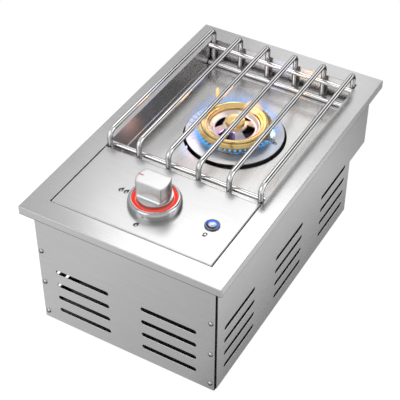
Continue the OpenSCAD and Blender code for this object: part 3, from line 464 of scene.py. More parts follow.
def paint_hem_shade(material, low):
    """Paints a dark line of shade along the lowest edge of the skirt and its return."""
    tree = material.node_tree
    height = parts_of(tree, object_place(tree))["Z"]
    above = ranged(tree, height, 0.0, 1.0, (low + HEM_SHADE_LINE) * MM, (low + HEM_SHADE_LINE + HEM_SHADE_FADE) * MM)
    overlay(material, above, PAINTED_DARK_COLOUR)


def make_top_frame():
    low, high = corners_of("top_frame")

    def outer(p):
        return at_either(p.x, low.x, high.x) or at_either(p.y, low.y, high.y)

    def fold(p):
        corner = at_either(p.x, low.x, high.x) and at_either(p.y, low.y, high.y)
        return outer(p) and (corner or at_either(p.z, low.z, high.z))

    def opening(p):
        return near(p.z, high.z) and not outer(p)

    piece = folded_sheet("top_frame", (FRAME_RADIUS, 4, fold), (0.5, 2, opening))
    # Painted shade: a dark line along the skirt's hem.
    paint_hem_shade(FRAME_STEEL, low.z)
    settle(piece, "housing", "brushed_steel", FRAME_STEEL, "top_frame")


make_top_frame()

# The pan: half bright stainless, pressed and folded from one sheet and spot welded under the flange. A strip
# along its front edge carries the rear of the control panel.
PAN_COLOUR = (0.67, 0.665, 0.66)
PAN_SHEET = 1
PAN_LIP = 10
PAN_FOLD = 1.6
PAN_STEEL = brushed_metal("pan_steel", PAN_COLOUR, 0.24, (600, 22, 600), 0.05)


def make_pan():
    low, high = corners_of("burner_pan")
    inner_x = high.x - PAN_LIP - PAN_SHEET
    inner_front = low.y + PAN_SHEET
    inner_back = high.y - PAN_LIP - PAN_SHEET
    floor = low.z + PAN_SHEET

    def floor_fold(p):
        sides = near(abs(p.x), inner_x) or at_either(p.y, inner_front, inner_back)
        return near(p.z, floor) and sides

    def wall_fold(p):
        return near(abs(p.x), inner_x) and at_either(p.y, inner_front, inner_back) and p.z < high.z - 2

    piece = folded_sheet("burner_pan", (PAN_FOLD, 4, lambda p: floor_fold(p) or wall_fold(p)))
    settle(piece, "housing", "pan_steel", PAN_STEEL, "burner_pan")


make_pan()
paint(SHEET_ALONG_X, "sheet_steel", "panel_rear_rail")

# The gas line: a forged brass valve on a steel bracket, its feed pipe, brass jet and inlet union, and drawn
# aluminium pipes between them, tightened with brass nuts.
BRASS_COLOUR = (0.88, 0.65, 0.28)
BRASS = brushed_metal("brass_fittings", BRASS_COLOUR, 0.28, (160, 160, 160), 0.12, 0.05)
PIPE_ALUMINIUM = brushed_metal("pipe_aluminium", (0.6, 0.6, 0.61), 0.3, (300, 60, 300), 0.08)
SATIN_STEEL = brushed_metal("satin_steel", (0.55, 0.55, 0.56), 0.3, (500, 500, 60), 0.06)
paint(BRASS, "brass", "gas_valve_body", "pipe_nuts", "gas_jet", "inlet_fitting", "inlet_lock_nut")
paint(PIPE_ALUMINIUM, "pipe_aluminium", "gas_feed_pipe", "gas_inlet_pipe")
paint(SHEET_ALONG_X, "sheet_steel", "valve_bracket", "burner_cradle")
paint(SCREW_STEEL, "screw_steel", "valve_screws", "burner_screws", "bezel_screws", "stem_collar")

# The cast burner body on its cradle, with the bent steel mixing tube below it and the air shutter that turns
# on the tube's mouth. The casting is dark and sandy, the tube and shutter are plain pressed steel.
CASTING_COLOUR = (0.07, 0.068, 0.066)
CASTING_GRAIN = 900


def make_casting_material():
    material, tree, shader = new_material("sand_casting")
    sand = object_noise(tree, CASTING_GRAIN, 4.0, 0.7)
    tint = blended(tree, sand, shaded(CASTING_COLOUR, 0.6), shaded(CASTING_COLOUR, 1.6))
    fill(tree, shader, Metallic=0.6, Base_Color=tint, Roughness=ranged(tree, sand, 0.5, 0.8))
    bump(tree, sand, shader, 0.5, 0.3)
    return material


paint(make_casting_material(), "cast_body", "burner_body")
paint(SATIN_STEEL, "sheet_steel", "mixing_tube", "air_shutter")

# The steel plate under the flames and the dished cup inside the ring: polished stainless, turned round the
# burner's middle, with the straw and blue tints that heat leaves. The cup has four windows for air.
PLATE_COLOUR = (0.84, 0.84, 0.85)
# Painted shade on the plate: darker and bluer towards its right side.
PLATE_PAINTED_SHADE_COLOUR = (0.36, 0.4, 0.48)
PLATE_PAINTED_SHADE_SPAN = (0.03, 0.065)
STRAW_TINT = (0.55, 0.42, 0.25)
BLUE_TINT = (0.25, 0.24, 0.42)
CUP_PROFILE = [(9.8, 202.5), (15.0, 202.5), (31.0, 195.0), (33.6, 195.0), (36.6, 200.3), (38.6, 200.3),
               (38.6, 201.2), (38.3, 201.5), (36.4, 201.5), (35.7, 201.0), (33.4, 196.6), (32.7, 196.2),
               (31.2, 196.2), (15.2, 203.7), (9.8, 203.7)]
WINDOW_INNER = 18.5
WINDOW_OUTER = 30.6
WINDOW_HALF_ANGLE = 29


def axis_of(node):
    """The middle of a CAD node as seen from above, in mm."""
    low, high = corners_of(node)
    return Vector(((low.x + high.x) / 2, (low.y + high.y) / 2, 0))


BURNER = axis_of("flame_ring")


def make_turning():
    """Rings that a lathe leaves round an upright axis, and the distance from that axis, in metres."""
    group, given, out = make_group(
        "turning", [("Axis", "NodeSocketVector", (0, 0, 0)), ("Rings per Metre", "NodeSocketFloat", 1500)],
        ["Rings", "Distance"])
    local = vector_maths(group, "SUBTRACT", object_place(group), given.outputs["Axis"])
    distance = vector_maths(group, "LENGTH", vector_maths(group, "MULTIPLY", local, (1, 1, 0)))
    both = calculate(group, "ADD", distance, parts_of(group, local)["Z"])
    spread = calculate(group, "MULTIPLY", both, given.outputs["Rings per Metre"])
    rings = add(group, "ShaderNodeTexNoise", noise_dimensions="1D", W=spread, Scale=1.0, Detail=3.0)
    fill(group, out, Rings=rings.outputs["Fac"], Distance=distance)
    return group


TURNING = make_turning()


def turned_metal(name, colour, roughness, axis, contrast=0.08, depth=0.05, tints=()):
    """Turned bare metal. Each tint is a colour, the inner and outer radius of its band in mm, and a share."""
    material, tree, shader = new_material(name)
    turning = add(tree, "ShaderNodeGroup", node_tree=TURNING, Axis=axis * MM)
    rings = turning.outputs["Rings"]
    tone = blended(tree, rings, shaded(colour, 1 - contrast), shaded(colour, 1 + contrast))
    patches = object_noise(tree, 45.0, 3.0, 0.6)
    for tint, inner, outer, share in tints:
        middle, half = (inner + outer) / 2 * MM, (outer - inner) / 2 * MM
        off = calculate(tree, "SUBTRACT", turning.outputs["Distance"], middle)
        band = ranged(tree, calculate(tree, "ABSOLUTE", off, 0.0), share, 0.0, half * 0.3, half)
        tone = blended(tree, calculate(tree, "MULTIPLY", band, patches), tone, tint)
    rough = ranged(tree, patches, roughness - 0.06, roughness + 0.1, 0.3, 0.7)
    fill(tree, shader, Metallic=1, Base_Color=tone, Roughness=rough)
    bump(tree, rings, shader, depth, 0.1)
    return material


def polar(axis, radius, angle, height):
    """The place, in metres, at a radius and an angle round an upright axis and at a height, all from mm."""
    return (axis.x + radius * math.cos(angle)) * MM, (axis.y + radius * math.sin(angle)) * MM, height * MM


def turned_points(bm, axis, profile, angles):
    """Rows of points, one for each angle, with a profile of radius and height in mm."""
    return [[bm.verts.new(polar(axis, r, a, z)) for r, z in profile] for a in angles]


def weld_close(bm):
    """Joins points that lie on each other."""
    bmesh.ops.remove_doubles(bm, verts=bm.verts, dist=0.002 * MM)


def make_plate():
    high = corners_of("burner_plate")[1]
    edge = high.x - BURNER.x - 1

    def rim(p):
        return near(p.z, high.z) and math.hypot(p.x - BURNER.x, p.y - BURNER.y) > edge

    piece = folded_sheet("burner_plate", (0.6, 3, rim))
    metal = turned_metal("plate_steel", PLATE_COLOUR, 0.4, BURNER, 0.05, 0.04,
                         [(STRAW_TINT, 50, 60, 0.9), (BLUE_TINT, 44, 54, 0.5)])
    tree = metal.node_tree
    across = parts_of(tree, object_place(tree))["X"]
    # Painted shade: the plate darkens and turns bluer towards its right side.
    overlay(metal, ranged(tree, across, 1.0, 0.4, *PLATE_PAINTED_SHADE_SPAN), PLATE_PAINTED_SHADE_COLOUR)
    settle(piece, "housing", "polished_steel", metal, "burner_plate")


def at_radius(profile, radius):
    """The height of an open stretch of a profile at a radius."""
    for (r0, z0), (r1, z1) in zip(profile, profile[1:]):
        if min(r0, r1) <= radius <= max(r0, r1) and r0 != r1:
            return z0 + (z1 - z0) * (radius - r0) / (r1 - r0)
    return profile[-1][1]


def in_window(degrees):
    """Whether one of the cup's four windows is open at an angle."""
    turned = degrees % 90
    return turned < WINDOW_HALF_ANGLE or turned >= 90 - WINDOW_HALF_ANGLE


def make_cup():
    """A dished ring whose four windows are cut between the spokes, with closed edges all round."""
    under, top = CUP_PROFILE[:4], CUP_PROFILE[11:]
    inner_under = (WINDOW_INNER, at_radius(under, WINDOW_INNER))
    inner_top = (WINDOW_INNER, at_radius(top, WINDOW_INNER))
    outer_under = (WINDOW_OUTER, at_radius(under, WINDOW_OUTER))
    outer_top = (WINDOW_OUTER, at_radius(top, WINDOW_OUTER) + 0.15)
    hub = [CUP_PROFILE[0], CUP_PROFILE[1], inner_under, inner_top, CUP_PROFILE[13], CUP_PROFILE[14]]
    spoke = [inner_under, outer_under, outer_top, inner_top]
    rim = [outer_under, *CUP_PROFILE[2:13], outer_top]
    cuts = ({inner_under, inner_top}, {outer_under, outer_top})
    bm = bmesh.new()
    turns = [math.radians(a) for a in range(360)]
    for part in (hub, rim):
        rows = turned_points(bm, BURNER, part, turns)
        for one, two in zip(rows, rows[1:] + rows[:1]):
            for i in range(len(part)):
                j = (i + 1) % len(part)
                if {part[i], part[j]} not in cuts:
                    bm.faces.new((one[i], one[j], two[j], two[i]))
    for turn in turns:
        degrees = math.degrees(turn)
        one, two = turned_points(bm, BURNER, spoke, (turn, turn + math.radians(1)))
        walls = ((0, 3), (2, 1)) if in_window(degrees) else ((0, 1), (2, 3))
        for i, j in walls:
            bm.faces.new((one[i], one[j], two[j], two[i]))
        if in_window(degrees) != in_window(degrees - 1):
            bm.faces.new(one)
    weld_close(bm)
    piece = new_piece("inner_cup_pressing", bm, 35)
    metal = turned_metal("cup_steel", (0.86, 0.84, 0.9), 0.3, BURNER, 0.05, 0.03,
                         [(STRAW_TINT, 14, 24, 0.8), (BLUE_TINT, 20, 34, 1.0), (STRAW_TINT, 33, 39, 0.8)])
    settle(piece, "housing", "polished_steel", metal, "inner_cup")


make_plate()
make_cup()

# The flame ring and the centre cap: turned brass that has seen flame. Each has its row of drilled gas ports,
# the ring below its lip and in its inner slope, and the cap round its wall. Both lift off by hand.
PORT_COUNT = 44
PORT_RADIUS = 1.4
PORT_HEIGHT = 195.0
PORT_DEPTH = 4.5
RING_WALL = 51.5
LIP_RISE = 11
CHANNEL_OUTER = 47.0
CHANNEL_INNER = 42.0
RING_BORE = 39.3
PILOT_RADIUS = 0.55
PILOT_DEPTH = 1.6
PILOT_EVERY = 2
RING_TINTS = [((0.3, 0.2, 0.1), 50.4, 52.6, 2.5), ((0.5, 0.3, 0.12), 53, 58, 0.9),
              ((0.6, 0.42, 0.22), 38, 43, 0.6)]
CAP_PORT_COUNT = 16
CAP_PORT_RADIUS = 0.9
CAP_PORT_DEPTH = 2.5
CAP_PORT_SHARE = 0.57
CAP_BASE = CUP_PROFILE[-1][1]
CAP_WALL_HEIGHT = 7.6
CAP_STEM_RADIUS = 9.5
CAP_BORE_RADIUS = 7.1
CAP_MIDDLE_RADIUS = 0.8
HOLE_STEPS = 16


def arc(centre_r, centre_z, radius, start, end, steps):
    """Points of a profile on an arc, from one angle to another."""
    turn = [math.radians(start + (end - start) * i / steps) for i in range(steps + 1)]
    return [(centre_r + radius * math.cos(a), centre_z + radius * math.sin(a)) for a in turn]


def drilled_band(bm, axis, low, high, count, hole, radius, depth, floor=None, turn=0.5):
    """A band of a turned wall, from one profile point to another, with a row of round holes drilled inward.

    hole is the share of the way from low to high at which a hole's middle lies. floor closes blind holes."""
    width = 2 * math.pi / count
    (r0, z0), (r1, z1) = low, high
    slope = math.hypot(r1 - r0, z1 - z0)
    inward = Vector((-(z1 - z0), r1 - r0)) / slope
    mid_r = r0 + (r1 - r0) * hole

    def point(across, along, sunk, middle):
        angle = middle + across / mid_r
        r = r0 + (r1 - r0) * along / slope + inward.x * sunk
        z = z0 + (z1 - z0) * along / slope + inward.y * sunk
        return bm.verts.new(polar(axis, r, angle, z))

    half = width * mid_r / 2
    shares = [4 * s / HOLE_STEPS for s in range(HOLE_STEPS // 4)]
    square = [(-half + 2 * half * s, 0) for s in shares] + [(half, slope * s) for s in shares]
    square += [(half - 2 * half * s, slope) for s in shares] + [(-half, slope - slope * s) for s in shares]
    turns = [math.atan2(along - slope * hole, across) for across, along in square]
    circle = [(radius * math.cos(a), slope * hole + radius * math.sin(a)) for a in turns]
    for i in range(count):
        middle = (i + turn) * width
        outer = [point(across, along, 0, middle) for across, along in square]
        rim = [point(across, along, 0, middle) for across, along in circle]
        deep = [point(across, along, depth, middle) for across, along in circle]
        for s in range(HOLE_STEPS):
            t = (s + 1) % HOLE_STEPS
            bm.faces.new((outer[s], outer[t], rim[t], rim[s]))
            bm.faces.new((rim[s], rim[t], deep[t], deep[s]))
        if floor:
            bm.faces.new(deep)


def turned_band(bm, axis, profile, sides):
    """An open stretch of a turned wall."""
    angles = [2 * math.pi * i / sides for i in range(sides)]
    rows = turned_points(bm, axis, profile, angles)
    for one, two in zip(rows, rows[1:] + rows[:1]):
        for i in range(len(profile) - 1):
            bm.faces.new((one[i], two[i], two[i + 1], one[i + 1]))


def make_flame_ring():
    low, high = corners_of("flame_ring")
    lip, crest = high.x - BURNER.x, high.z
    lip_z = low.z + LIP_RISE
    port_share = (PORT_HEIGHT - low.z) / LIP_RISE
    sides = PORT_COUNT * HOLE_STEPS // 4
    bm = bmesh.new()
    drilled_band(bm, BURNER, (RING_WALL, low.z), (RING_WALL, lip_z), PORT_COUNT, port_share, PORT_RADIUS,
                 PORT_DEPTH)
    over_lip = [(RING_WALL, lip_z), (lip - 0.6, lip_z + 0.5), *arc(lip - 1.4, lip_z + 2.0, 1.4, -60, 35, 6),
                (lip - 2.4, lip_z + 3.9), (lip - 5.2, lip_z + 6.4),
                *arc(lip - 10, crest - 3.4, 3.4, 60, 125, 8), (lip - 13.9, crest - 2.0)]
    turned_band(bm, BURNER, over_lip, sides)
    slope_end = (CHANNEL_INNER, crest - 3.6)
    pilot_count = PORT_COUNT // PILOT_EVERY
    drilled_band(bm, BURNER, over_lip[-1], slope_end, pilot_count, 0.5, PILOT_RADIUS, PILOT_DEPTH, floor=True,
                 turn=0.25)
    inside = [slope_end, (RING_BORE + 1.1, crest - 4.4), *arc(RING_BORE + 0.8, crest - 5.2, 0.8, 70, 180, 4),
              (RING_BORE, low.z), (CHANNEL_INNER, low.z), (CHANNEL_INNER, lip_z), (CHANNEL_OUTER, lip_z)]
    turned_band(bm, BURNER, inside, sides)
    under = [(CHANNEL_OUTER, lip_z), (CHANNEL_OUTER, low.z), (RING_WALL, low.z)]
    turned_band(bm, BURNER, under, sides)
    weld_close(bm)
    piece = new_piece("flame_ring_turning", bm, 32)
    metal = turned_metal("ring_brass", BRASS_COLOUR, 0.22, BURNER, 0.08, 0.06, RING_TINTS)
    settle(piece, "ring_burner", "brass", metal, "flame_ring")


def make_centre_cap():
    low, high = corners_of("centre_cap")
    radius = high.x - BURNER.x
    sides = CAP_PORT_COUNT * HOLE_STEPS // 4
    port_top = CAP_BASE + CAP_WALL_HEIGHT
    bm = bmesh.new()
    foot = [(CAP_BORE_RADIUS, low.z), (CAP_STEM_RADIUS - 0.2, low.z), (CAP_STEM_RADIUS, low.z + 0.2),
            (CAP_STEM_RADIUS, CAP_BASE), (radius - 0.3, CAP_BASE), (radius, CAP_BASE + 0.4)]
    turned_band(bm, BURNER, foot, sides)
    drilled_band(bm, BURNER, foot[-1], (radius, port_top), CAP_PORT_COUNT, CAP_PORT_SHARE, CAP_PORT_RADIUS,
                 CAP_PORT_DEPTH, floor=True, turn=0)
    top = [(radius, port_top), *arc(radius - 1.6, high.z - 2.0, 1.6, 0, 55, 5),
           *arc(radius - 3.8, high.z - 0.9, 0.9, 60, 100, 3),
           (9.6, high.z - 0.25), (9.0, high.z - 0.5), (5.2, high.z - 0.5), (4.6, high.z - 0.2),
           (CAP_MIDDLE_RADIUS, high.z)]
    turned_band(bm, BURNER, top, sides)
    bore = [(CAP_BORE_RADIUS, low.z), (CAP_BORE_RADIUS, CAP_BASE + 1), (CAP_MIDDLE_RADIUS, CAP_BASE + 1)]
    turned_band(bm, BURNER, bore, sides)
    weld_close(bm)
    bmesh.ops.holes_fill(bm, edges=[e for e in bm.edges if e.is_boundary], sides=0)
    piece = new_piece("centre_cap_turning", bm, 32)
    metal = turned_metal("cap_brass", shaded(BRASS_COLOUR, 1.05), 0.32, BURNER, 0.12, 0.08)
    settle(piece, "cap_burner", "brass", metal, "centre_cap")


make_flame_ring()
make_centre_cap()

# The igniter: a piezo block that the knob's push fires, a silicone lead, and a glazed ceramic electrode held
# through the plate by a screwed tab. Its spark jumps from the steel tip to the ring.
CERAMIC_COLOUR = (0.82, 0.8, 0.75)
PIEZO_COLOUR = (0.75, 0.75, 0.73)
LEAD_COLOUR = (0.26, 0.05, 0.025)
GREY_LEAD_COLOUR = (0.06, 0.06, 0.065)
SPARK_COLOUR = (0.55, 0.75, 1.0)
SPARK_BENDS = 9
SPARK_SIDES = 8
SPARK_SEED = 5
SPARK_REACH = 2.6
SPARK_RISE = 1.0


def moulded(name, colour, roughness, grain=500, contrast=0.08, coat=0.0):
    """Plastic, rubber or glaze: one colour with a fine mottle and a slightly uneven gloss."""
    material, tree, shader = new_material(name)
    mottle = object_noise(tree, grain, 3.0, 0.6)
    tint = blended(tree, mottle, shaded(colour, 1 - contrast), shaded(colour, 1 + contrast))
    rough = ranged(tree, mottle, roughness - 0.05, roughness + 0.08)
    fill(tree, shader, Base_Color=tint, Roughness=rough, Coat_Weight=coat)
    bump(tree, mottle, shader, 0.1, 0.05)
    return material


def lamp_material(name, core, edge, strength, middle, half, near_side_shade=1.0):
    """A lit ring. Its middle is an axis and a radius in mm. Painted shade dims it towards the cook's side,
    down to the share given for its near side.
    """
    material, tree, shader = new_material(name)
    turning = add(tree, "ShaderNodeGroup", node_tree=TURNING, Axis=middle[0] * MM)
    off = calculate(tree, "SUBTRACT", turning.outputs["Distance"], middle[1] * MM)
    band = ranged(tree, calculate(tree, "ABSOLUTE", off, 0.0), 0.0, 1.0, 0.6 * half * MM, half * MM)
    gloss = add(tree, "ShaderNodeLightPath").outputs["Is Glossy Ray"]
    seen = calculate(tree, "MULTIPLY_ADD", gloss, -0.15 * strength, strength)
    reach = 0.5 * middle[1] * MM
    axis_y = middle[0].y * MM
    along = parts_of(tree, object_place(tree))["Y"]
    side = ranged(tree, along, near_side_shade, 1.0, axis_y - reach, axis_y + reach)
    fill(tree, shader, Emission_Color=blended(tree, band, core, edge),
         Emission_Strength=calculate(tree, "MULTIPLY", seen, side),
         Base_Color=blended(tree, band, shaded(core, 0.3), shaded(edge, 0.3)),
         Roughness=ranged(tree, turning.outputs["Rings"], 0.3, 0.45), Specular_IOR_Level=0.25)
    return material


def hoop(bm, middle, one_way, other_way, sides):
    """An oval of points round a middle, with its two half axes as vectors in mm."""
    turns = [math.tau * k / sides for k in range(sides)]
    return [bm.verts.new((middle + one_way * math.cos(a) + other_way * math.sin(a)) * MM) for a in turns]


def close_tube(bm, rings):
    """A skin over rings of points, one after another, with both ends closed."""
    count = len(rings[0])
    for one, two in zip(rings, rings[1:]):
        for k in range(count):
            bm.faces.new((one[k], one[(k + 1) % count], two[(k + 1) % count], two[k]))
    bm.faces.new(rings[0])
    bm.faces.new(rings[-1])


def make_spark():
    """A thin crooked arc of light from the electrode's tip to the ring's wall."""
    low, high = corners_of("electrode_tip")
    tip = Vector(((low.x + high.x) / 2, (low.y + high.y) / 2, high.z - 0.8))
    inward = (Vector((BURNER.x, BURNER.y, tip.z)) - tip).normalized()
    end = tip + inward * SPARK_REACH + Vector((0, 0, SPARK_RISE))
    dice = random.Random(SPARK_SEED)
    bm = bmesh.new()
    rings = []
    for i in range(SPARK_BENDS + 1):
        share = i / SPARK_BENDS
        loose = 0.5 * math.sin(math.pi * share)
        middle = tip.lerp(end, share) + Vector([dice.uniform(-loose, loose) for _ in range(3)])
        size = 0.3 + 0.7 * (1 - share) ** 2
        rings.append(hoop(bm, middle, Vector((0, size, 0)), Vector((0, 0, size)), SPARK_SIDES))
    close_tube(bm, rings)
    material, tree, shader = new_material("spark")
    flicker = object_noise(tree, 900.0, 2.0)
    fill(tree, shader, Emission_Color=blended(tree, flicker, SPARK_COLOUR, (1, 1, 1)), Emission_Strength=8)
    settle(new_piece("igniter_spark", bm), "housing", "blue_light", material)


paint(moulded("ceramic_glaze", CERAMIC_COLOUR, 0.15, 300, 0.05, 0.6), "ceramic", "electrode_ceramic")
paint(moulded("piezo_plastic", PIEZO_COLOUR, 0.4), "white_plastic", "piezo_igniter")
paint(moulded("silicone_lead", LEAD_COLOUR, 0.5), "lead_rubber", "igniter_lead")
paint(moulded("rubber_lead", GREY_LEAD_COLOUR, 0.5), "lead_rubber", "light_lead")
paint(moulded("socket_plastic", (0.03, 0.03, 0.03), 0.45), "black_plastic", "power_inlet")
paint(SATIN_STEEL, "sheet_steel", "electrode_tip", "electrode_bracket")
paint(SCREW_STEEL, "screw_steel", "electrode_screw")
make_spark()

# The control panel: a flush stainless tray, brushed lengthwise, that drops into the frame on its ledge. Its
# printed signs, one flame and two flames, show where the knob points at low and high.
PANEL_STEEL = brushed_metal("panel_steel", (0.54, 0.54, 0.54), 0.3, (26, 850, 850), 0.05, 0.003)
PRINT_THICKNESS = 0.06
SIGN_HEIGHT = 10.5
TWO_FLAMES_OUT = 51.5
ONE_FLAME_OUT = 50.0
LAMP_SIGN_OUT = 19.5
SIGN_POINTS = 32
KNOB = axis_of("knob_bezel")
BUTTON = axis_of("button_housing")


def make_panel():
    low, high = corners_of("control_panel")

    def fold(p):
        rim = at_either(p.x, low.x, high.x) or at_either(p.y, low.y, high.y)
        return rim and (near(p.z, high.z) or p.z < high.z - 2 and not near(p.z, low.z))

    piece = folded_sheet("control_panel", (1.7, 5, fold))
    settle(piece, "housing", "brushed_steel", PANEL_STEEL, "control_panel")


def flame_outline(height, lean=0.0):
    """The outline of a flame sign: a round foot that runs up to a bent tip."""
    points = []
    for i in range(SIGN_POINTS):
        a = math.tau * i / SIGN_POINTS
        narrow = 0.5 * (1 - math.sin(a)) ** 0.65 if math.sin(a) > -0.2 else 0.56
        x = 0.62 * height * narrow * math.cos(a)
        y = height * (0.5 + 0.5 * math.sin(a))
        points.append((x + lean * height * (y / height) ** 3, y))
    return points


def make_print(name, outlines):
    """Printed signs: each is an outer and an inner outline, on the panel's top face."""
    top = corners_of("control_panel")[1].z + PRINT_THICKNESS
    bm = bmesh.new()
    for outer, inner in outlines:
        (under_out, under_in), (top_out, top_in) = [
            [[bm.verts.new((x * MM, y * MM, z * MM)) for x, y in line] for line in (outer, inner)]
            for z in (top - 2 * PRINT_THICKNESS, top)]
        count = len(outer)
        for i in range(count):
            j = (i + 1) % count
            bm.faces.new((top_out[i], top_out[j], top_in[j], top_in[i]))
            bm.faces.new((under_out[j], under_out[i], under_in[i], under_in[j]))
            bm.faces.new((under_out[i], under_out[j], top_out[j], top_out[i]))
            bm.faces.new((under_in[j], under_in[i], top_in[i], top_in[j]))
    settle(new_piece(name, bm), "housing", "black_plastic", PRINT_INK)


def flame_sign(x, y, height):
    """A flame as an outline with a smaller flame cut out of it."""
    outer = [(x + u, y + v) for u, v in flame_outline(height, 0.28)]
    inner = [(x + u * 0.36 + height * 0.06, y + v * 0.36 + height * 0.14)
             for u, v in flame_outline(height, 0.2)]
    return outer, inner


def lamp_sign(x, y, radius):
    """A bulb with its foot, as an outline with a hole."""
    outer, inner = [], []
    for i in range(SIGN_POINTS):
        a = math.tau * i / SIGN_POINTS
        foot = math.radians(235) < a < math.radians(305)
        r = radius * (1.5 if foot else 1.0)
        outer.append((x + r * math.cos(a), y + r * math.sin(a)))
        inner.append((x + 0.45 * r * math.cos(a), y + 0.45 * r * math.sin(a)))
    return outer, inner


PRINT_INK = moulded("print_ink", (0.05, 0.05, 0.05), 0.5, 900, 0.2)
make_panel()
make_print("two_flames_sign", [flame_sign(KNOB.x - TWO_FLAMES_OUT - 4.2, KNOB.y - 4, SIGN_HEIGHT),
                               flame_sign(KNOB.x - TWO_FLAMES_OUT + 4.2, KNOB.y - 4, SIGN_HEIGHT)])
make_print("one_flame_sign", [flame_sign(KNOB.x, KNOB.y - ONE_FLAME_OUT - 4, SIGN_HEIGHT)])
make_print("lamp_sign", [lamp_sign(BUTTON.x, BUTTON.y - LAMP_SIGN_OUT, 3.3)])

# The knob's place: a turned bezel of bright metal, screwed from below, with a board of lamps in it and a
# clear ring over them that shines red round the knob.
BEZEL_COLOUR = (0.46, 0.46, 0.47)
KNOB_COLOUR = (0.56, 0.56, 0.56)
RED_CORE = (1.0, 0.012, 0.008)
# Painted highlight: paler red at the rims of the red ring's band.
RED_PAINTED_HIGHLIGHT = (1.0, 0.3, 0.2)
PANEL_TOP = corners_of("control_panel")[1].z
ROUND_STEPS = 160
BEZEL_HOLE_RADIUS = 12
LENS_WIDTH = 5.4


def lathe(name, axis, profile, sides=ROUND_STEPS, crease=32):
    """A closed profile of radius and height, in mm, turned round an upright axis."""
    bm = bmesh.new()
    turned_band(bm, axis, [*profile, profile[0]], sides)
    weld_close(bm)
    return new_piece(name, bm, crease)


def above_panel(points):
    """A profile with its heights counted from the panel's top."""
    return [(r, PANEL_TOP + z) for r, z in points]


def make_bezel():
    high = corners_of("knob_bezel")[1]
    outer = high.x - KNOB.x
    inner = corners_of("knob_light_ring")[1].x - KNOB.x + 0.2
    height = high.z - PANEL_TOP
    lean_r, lean_h = outer - inner - 1.4, height - 2.5
    flank = [(outer - lean_r * (1 - math.cos(a)), 2.5 + lean_h * math.sin(a) - 0.05)
             for a in [math.radians(4 * i) for i in range(22)]]
    profile = above_panel([(BEZEL_HOLE_RADIUS, 0), (outer - 0.3, 0), (outer, 0.4), *flank,
                           (inner + 1.3, height - 0.05), (inner + 0.9, height), (inner + 0.4, height),
                           (inner, height - 0.4), (inner, 1.6), (BEZEL_HOLE_RADIUS, 1.6)])
    metal = turned_metal("bezel_chrome", BEZEL_COLOUR, 0.15, KNOB, 0.06, 0.03)
    settle(lathe("knob_bezel_turning", KNOB, profile), "housing", "chrome_trim", metal, "knob_bezel")


def make_light_ring():
    low, high = corners_of("knob_light_ring")
    outer = high.x - KNOB.x
    inner = outer - LENS_WIDTH
    edge = high.z - 1.0
    profile = [(inner, low.z), (outer, low.z), (outer, edge), *arc(outer - 1.0, edge, 1.0, 10, 80, 4),
               *arc(inner + 1.0, edge, 1.0, 100, 170, 4), (inner, edge)]
    middle = (KNOB, (outer + inner) / 2)
    # The band's paler rims are a painted highlight.
    glow = lamp_material("red_diffuser", RED_CORE, RED_PAINTED_HIGHLIGHT, 0.95, middle, LENS_WIDTH / 2)
    settle(lathe("knob_light_ring_lens", KNOB, profile), "housing", "red_light", glow, "knob_light_ring")


make_bezel()
make_light_ring()
paint(moulded("board_varnish", (0.02, 0.12, 0.05), 0.3, 300, 0.3, 0.5), "circuit_board", "knob_light_board")

# The knob: die-cast zinc with a satin plating, a round skirt and a grip cut flat on both sides. It is pressed
# on the valve stem's flat. A line of red enamel marks where it points.
SKIRT_EDGE = 0.8
TOP_EDGE = 1.3
LEDGE = 17.0
SCOOP = 5.0
GRIP_HALF = 15.0
GRIP_BACK = 22.0
GRIP_BACK_RADIUS = 34.0
EDGE_POWER = 44
KNOB_SIDES = 240
FAR_OUT = 1e3
TOP_SHARES = (0.85, 0.6, 0.35, 0.12)
ENAMEL_COLOUR = (0.8, 0.12, 0.12)


def knob_reach(angle, half, shrink, radius, cut=1.0):
    """How far the knob's outline is from its axis at an angle, with its upright edges slightly rounded."""
    side = (half - shrink) / max(abs(math.sin(angle)), 1e-6)
    offset = GRIP_BACK - GRIP_BACK_RADIUS
    arm = offset * math.cos(angle)
    back = arm + math.sqrt(arm * arm - offset * offset + (GRIP_BACK_RADIUS - shrink) ** 2)
    if math.cos(angle) < 0.2:
        back = FAR_OUT
    back += (1 - cut) * FAR_OUT
    parts = [radius - shrink, side, back]
    least = min(parts)
    return least * sum((least / p) ** EDGE_POWER for p in parts) ** (-1 / EDGE_POWER)


def knob_ring(bm, shrink, half, reach, height, cut, share=1.0):
    """One level of the knob's skin. The share draws it in towards the axis."""
    turns = [math.tau * i / KNOB_SIDES for i in range(KNOB_SIDES)]
    reaches = [knob_reach(a, half, shrink, reach, cut) * share for a in turns]
    return [bm.verts.new(polar(KNOB, r, a, PANEL_TOP + height)) for r, a in zip(reaches, turns)]


